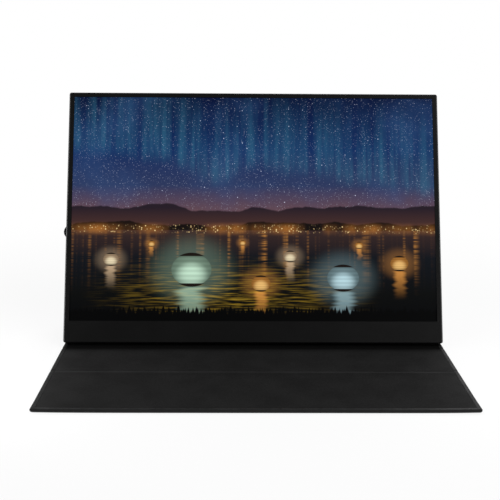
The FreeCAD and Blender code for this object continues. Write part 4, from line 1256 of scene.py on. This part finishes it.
@dataclass
class Monitor:
    """Leaning monitor: screen glass and the insides of the sockets.

    Lengths are in millimetres. Places inside the sockets are counted from the socket face or from the
    middle of the tongue.
    """

    lean: float = 20.5
    edge: tuple[float, float] = (-8.1938, 6.0283)
    view: tuple[float, float] = (344.7, 215.4)
    chin: float = 20.3
    overlap: float = 2.0
    glass_front: float = 1.4
    glass_thick: float = 1.0
    glass_bevel: float = 0.15
    socket_face: float = 176.85
    socket_depth: float = 5.9
    sleeve: tuple[float, float] = (6.4, 1.1)
    sleeve_fit: float = 0.05
    sleeve_half: float = 0.4
    sleeve_bevel: float = 0.12
    insulator: tuple[float, float] = (6.5, 5.2)
    insulator_side: float = 0.45
    insulator_half: float = 1.15
    insulator_bevel: float = 0.1
    contact_in: float = 2.7
    contact_up: float = 0.41
    sockets: tuple[Socket, ...] = (Socket(70.0, 9.0, 6.3, 12, 0.5), Socket(88.0, 9.0, 6.3, 12, 0.5),
                                   Socket(108.0, 11.4, 8.7, 19, 0.42))

    def __post_init__(self) -> None:
        """Work out the place of the leaning case."""
        turn = Matrix.Rotation(math.radians(90.0 - self.lean), 4, "X")
        self.place = Matrix.Translation(Vector((0.0, *self.edge)) * MM) @ turn @ Matrix.Scale(MM, 4)

    def glass(self) -> bpy.types.Object:
        """Make the screen's glass, ground at its edges, with the picture's own map.

        Returns:
            The piece.
        """
        half, low = self.view[0] / 2.0 + self.overlap, self.chin - self.overlap
        high = self.chin + self.view[1] + self.overlap
        shell = bmesh.new()
        bmesh.ops.create_cube(shell, size=1.0)
        size = Vector((2.0 * half, high - low, self.glass_thick))
        centre = Vector((0.0, (low + high) / 2.0, -self.glass_front - self.glass_thick / 2.0))
        for vert in shell.verts:
            vert.co = Vector(a * b for a, b in zip(vert.co, size)) + centre
        rounded(shell, shell.edges[:], self.glass_bevel)
        chart = shell.loops.layers.uv.new("picture")
        for face in shell.faces:
            for loop in face.loops:
                x, y = loop.vert.co.xy
                loop[chart].uv = (x / self.view[0] + 0.5, (y - self.chin) / self.view[1])
        mesh = poured(shell, "screen_glass")
        mesh.transform(self.place)
        piece = finished("screen_glass", mesh, "screen_glass", "monitor")
        mesh.materials.append(NightPicture().material())
        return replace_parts(piece, "lcd_cell")

    @staticmethod
    def slab(shell: bmesh.types.BMesh, low: Vector, high: Vector, bevel: float) -> None:
        """Add a block with rounded edges between two corners of the case.

        Args:
            shell: Shell that gets the block.
            low: Corner with the lowest numbers.
            high: Corner with the highest numbers.
            bevel: Rounding of the edges.
        """
        made = bmesh.ops.create_cube(shell, size=1.0)["verts"]
        for vert in made:
            vert.co = Vector((a + b) / 2.0 + c * (b - a) for a, b, c in zip(low, high, vert.co))
        rounded(shell, list({edge for vert in made for edge in vert.link_edges}), bevel)

    def tongues(self) -> bpy.types.Object:
        """Sleeve the socket tongues in black resin, with the insulator behind them.

        Returns:
            The piece.
        """
        shell = bmesh.new()
        for socket in self.sockets:
            sleeve = (self.sleeve, socket.tongue / 2.0 + self.sleeve_fit, self.sleeve_half,
                      self.sleeve_bevel)
            insulator = (self.insulator, socket.width / 2.0 - self.insulator_side, self.insulator_half,
                         self.insulator_bevel)
            for (back, front), wide, thick, bevel in (sleeve, insulator):
                low = Vector((self.socket_face - back, socket.up - wide, -self.socket_depth - thick))
                high = Vector((self.socket_face - front, socket.up + wide, -self.socket_depth + thick))
                self.slab(shell, low, high, bevel)
        mesh = self.settled(shell, "socket_tongues")
        return finished("socket_tongues", mesh, "jack_black", "monitor", TONGUE)

    def settled(self, shell: bmesh.types.BMesh, name: str) -> bpy.types.Mesh:
        """Turn a shell in the case's own millimetres into a mesh in the row frame.

        Args:
            shell: Shell that is ready.
            name: Name of the mesh.

        Returns:
            The mesh.
        """
        bmesh.ops.recalc_face_normals(shell, faces=shell.faces)
        mesh = poured(shell, name)
        mesh.transform(self.place)
        return mesh

    def contacts(self) -> bpy.types.Object:
        """Lay gilt contacts on both faces of each tongue.

        Returns:
            The piece.
        """
        shell = bmesh.new()
        turn = Matrix.Rotation(math.radians(90.0), 4, "Z")
        for socket in self.sockets:
            row = ContactRow(socket.count, socket.pitch).mesh()
            for side in (1.0, -1.0):
                spot = Vector((self.socket_face - self.contact_in, socket.up,
                               -self.socket_depth + self.contact_up * side))
                turned = row.copy()
                turned.transform(Matrix.Translation(spot) @ turn)
                shell.from_mesh(turned)
                bpy.data.meshes.remove(turned)
            bpy.data.meshes.remove(row)
        mesh = self.settled(shell, "socket_contacts")
        return finished("socket_contacts", mesh, "socket_steel", "monitor", GOLD)

    def build(self) -> list[bpy.types.Object]:
        """Make the monitor's own pieces."""
        return [self.glass(), self.tongues(), self.contacts()]


@dataclass(frozen=True)
class Lamp:
    """One square soft lamp, with its place and size in metres and its power in watts."""

    name: str
    spot: tuple[float, float, float]
    size: float
    power: float
    mirrored: bool = True

    def hang(self, target: Vector) -> None:
        """Hang the lamp.

        Args:
            target: Point at which it shines.
        """
        data = bpy.data.lights.new(self.name, "AREA")
        data.size, data.energy = self.size, self.power
        lamp = placed(self.name, data)
        lamp.visible_camera = False
        lamp.visible_glossy = self.mirrored
        turn = (target - Vector(self.spot)).to_track_quat("-Z", "Y").to_matrix().to_4x4()
        lamp.matrix_world = Matrix.Translation(self.spot) @ turn


@dataclass
class Studio:
    """White floor, soft lamps and the camera at the photograph's place. Lengths are in metres.

    Three lamps are large, two hang low beside the flap and are too near to be mirrored in it, two
    stand behind the sides, and one is for the chin.
    """

    lens: float = 72.0
    sensor: float = 36.0
    near: float = 0.01
    spot: tuple[float, float, float] = (-0.01646, -0.89796, 0.29757)
    pitch: float = 12.827
    yaw: float = 0.81
    roll: float = 0.372
    world_light: float = 0.36
    floor_grey: float = 0.70
    floor_roughness: float = 0.9
    floor_half: float = 30.0
    floor_drop: float = 0.0003
    glow: tuple[float, float] = (0.86, 1.0)
    glow_reach: tuple[float, float] = (0.3, 0.7)
    target: tuple[float, float, float] = (0.0, 0.0, 0.1)
    lamps: tuple[Lamp, ...] = (
        Lamp("key", (0.9, -1.0, 1.5), 1.2, 18.0),
        Lamp("fill", (-1.2, -0.8, 1.1), 1.2, 6.0),
        Lamp("back", (0.45, 1.2, 1.1), 0.8, 13.0),
        Lamp("flap_right", (0.30, -0.14, 0.11), 0.1, 0.25, mirrored=False),
        Lamp("flap_left", (-0.30, -0.14, 0.11), 0.1, 0.52, mirrored=False),
        Lamp("rim_right", (1.1, 0.35, 0.15), 0.5, 1.4),
        Lamp("rim_left", (-1.1, 0.35, 0.15), 0.5, 2.2),
        Lamp("chin", (0.50, -1.05, 0.45), 0.3, 1.5))

    def camera(self) -> None:
        """Set up the camera."""
        data = bpy.data.cameras.new("camera")
        data.lens, data.sensor_width, data.clip_start = self.lens, self.sensor, self.near
        cam = placed("camera", data)
        pitch, yaw, roll = (math.radians(a) for a in (self.pitch, self.yaw, self.roll))
        ahead = Vector((math.sin(yaw) * math.cos(pitch), math.cos(yaw) * math.cos(pitch),
                        -math.sin(pitch)))
        level = Vector((math.cos(yaw), -math.sin(yaw), 0.0))
        upright = level.cross(ahead)
        right = math.cos(roll) * level + math.sin(roll) * upright
        up = -math.sin(roll) * level + math.cos(roll) * upright
        turn = Matrix((right, up, -ahead)).transposed().to_4x4()
        cam.matrix_world = Matrix.Translation(self.spot) @ turn
        bpy.context.scene.camera = cam

    @staticmethod
    def seen(tree: bpy.types.NodeTree) -> Wire:
        """Tell camera, glossy and transmission rays from those that only carry light.

        Args:
            tree: Node tree of the floor or the world.

        Returns:
            1 for the rays that see, 0 for the others.
        """
        path = tree.nodes.new("ShaderNodeLightPath")
        total = path.outputs["Is Camera Ray"]
        for name in ("Is Glossy Ray", "Is Transmission Ray"):
            node = tree.nodes.new("ShaderNodeMath")
            node.operation = "MAXIMUM"
            tree.links.new(total, node.inputs[0])
            tree.links.new(path.outputs[name], node.inputs[1])
            total = node.outputs[0]
        return total

    def world(self) -> None:
        """Light the surroundings evenly and show them white."""
        world = bpy.data.worlds.new("studio")
        bpy.context.scene.world = world
        world.use_nodes = True
        tree = world.node_tree
        back = tree.nodes["Background"]
        back.inputs["Color"].default_value = (*grey(1.0), 1.0)
        level = tree.nodes.new("ShaderNodeMapRange")
        tree.links.new(self.seen(tree), level.inputs["Value"])
        level.inputs["To Min"].default_value = self.world_light
        level.inputs["To Max"].default_value = 1.0
        tree.links.new(level.outputs[0], back.inputs["Strength"])

    def floor(self) -> None:
        """Lay a white floor that keeps a soft shadow."""
        shell = bmesh.new()
        bmesh.ops.create_grid(shell, x_segments=1, y_segments=1, size=self.floor_half)
        mesh = poured(shell, "floor")
        mesh.transform(Matrix.Translation((0.0, 0.0, -self.floor_drop)))
        graph = Graph("floor_white")
        graph.fix(Base_Color=(*grey(self.floor_grey), 1.0), Roughness=self.floor_roughness,
                  Specular_IOR_Level=0.0)
        glow = graph.add("Emission", Strength=1.0)
        both = graph.add("MixShader")
        reach = graph.add("VectorMath", {"operation": "LENGTH"}, Vector=graph.place()).outputs["Value"]
        least, most = self.glow
        white = graph.scaled(graph.ease(reach, *self.glow_reach), most - least, least)
        graph.feed(both.inputs[0], graph.times(self.seen(graph.tree), white))
        graph.feed(both.inputs[1], graph.shader.outputs[0])
        graph.feed(both.inputs[2], glow.outputs[0])
        graph.feed(graph.tree.nodes["Material Output"].inputs["Surface"], both.outputs[0])
        mesh.materials.append(graph.material)
        placed("floor", mesh)

    def build(self) -> None:
        """Set up everything around the object."""
        bpy.context.scene.view_settings.view_transform = "Standard"
        self.camera()
        self.world()
        self.floor()
        for lamp in self.lamps:
            lamp.hang(Vector(self.target))


def dress_nodes(frame: dict) -> list[bpy.types.Object]:
    """Give every carried-over node the finish of its slot.

    Args:
        frame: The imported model.

    Returns:
        The dressed nodes.
    """
    dressed = []
    for part in frame["record"]["subparts"]:
        finish = DIAL if part["node"] == "jog_dial" else FINISHES.get(part["material_slot"])
        if finish:
            node = frame["nodes"][part["node"]]
            node.data.materials.clear()
            node.data.materials.append(finish.material())
            dressed.append(node)
    return dressed


def report(pieces: list[bpy.types.Object]) -> None:
    """Log each piece."""
    for piece in pieces:
        log.info("piece %s: %d faces", piece.name, len(piece.data.polygons))


def main() -> None:
    """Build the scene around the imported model, and report each piece."""
    logging.basicConfig(level=logging.INFO, format="%(message)s")
    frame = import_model()
    Studio().build()
    report(dress_nodes(frame))
    report(FoldingCover({joint["name"]: joint for joint in frame["joints"]}).build())
    report(Monitor().build())


if __name__ == "__main__":
    main()
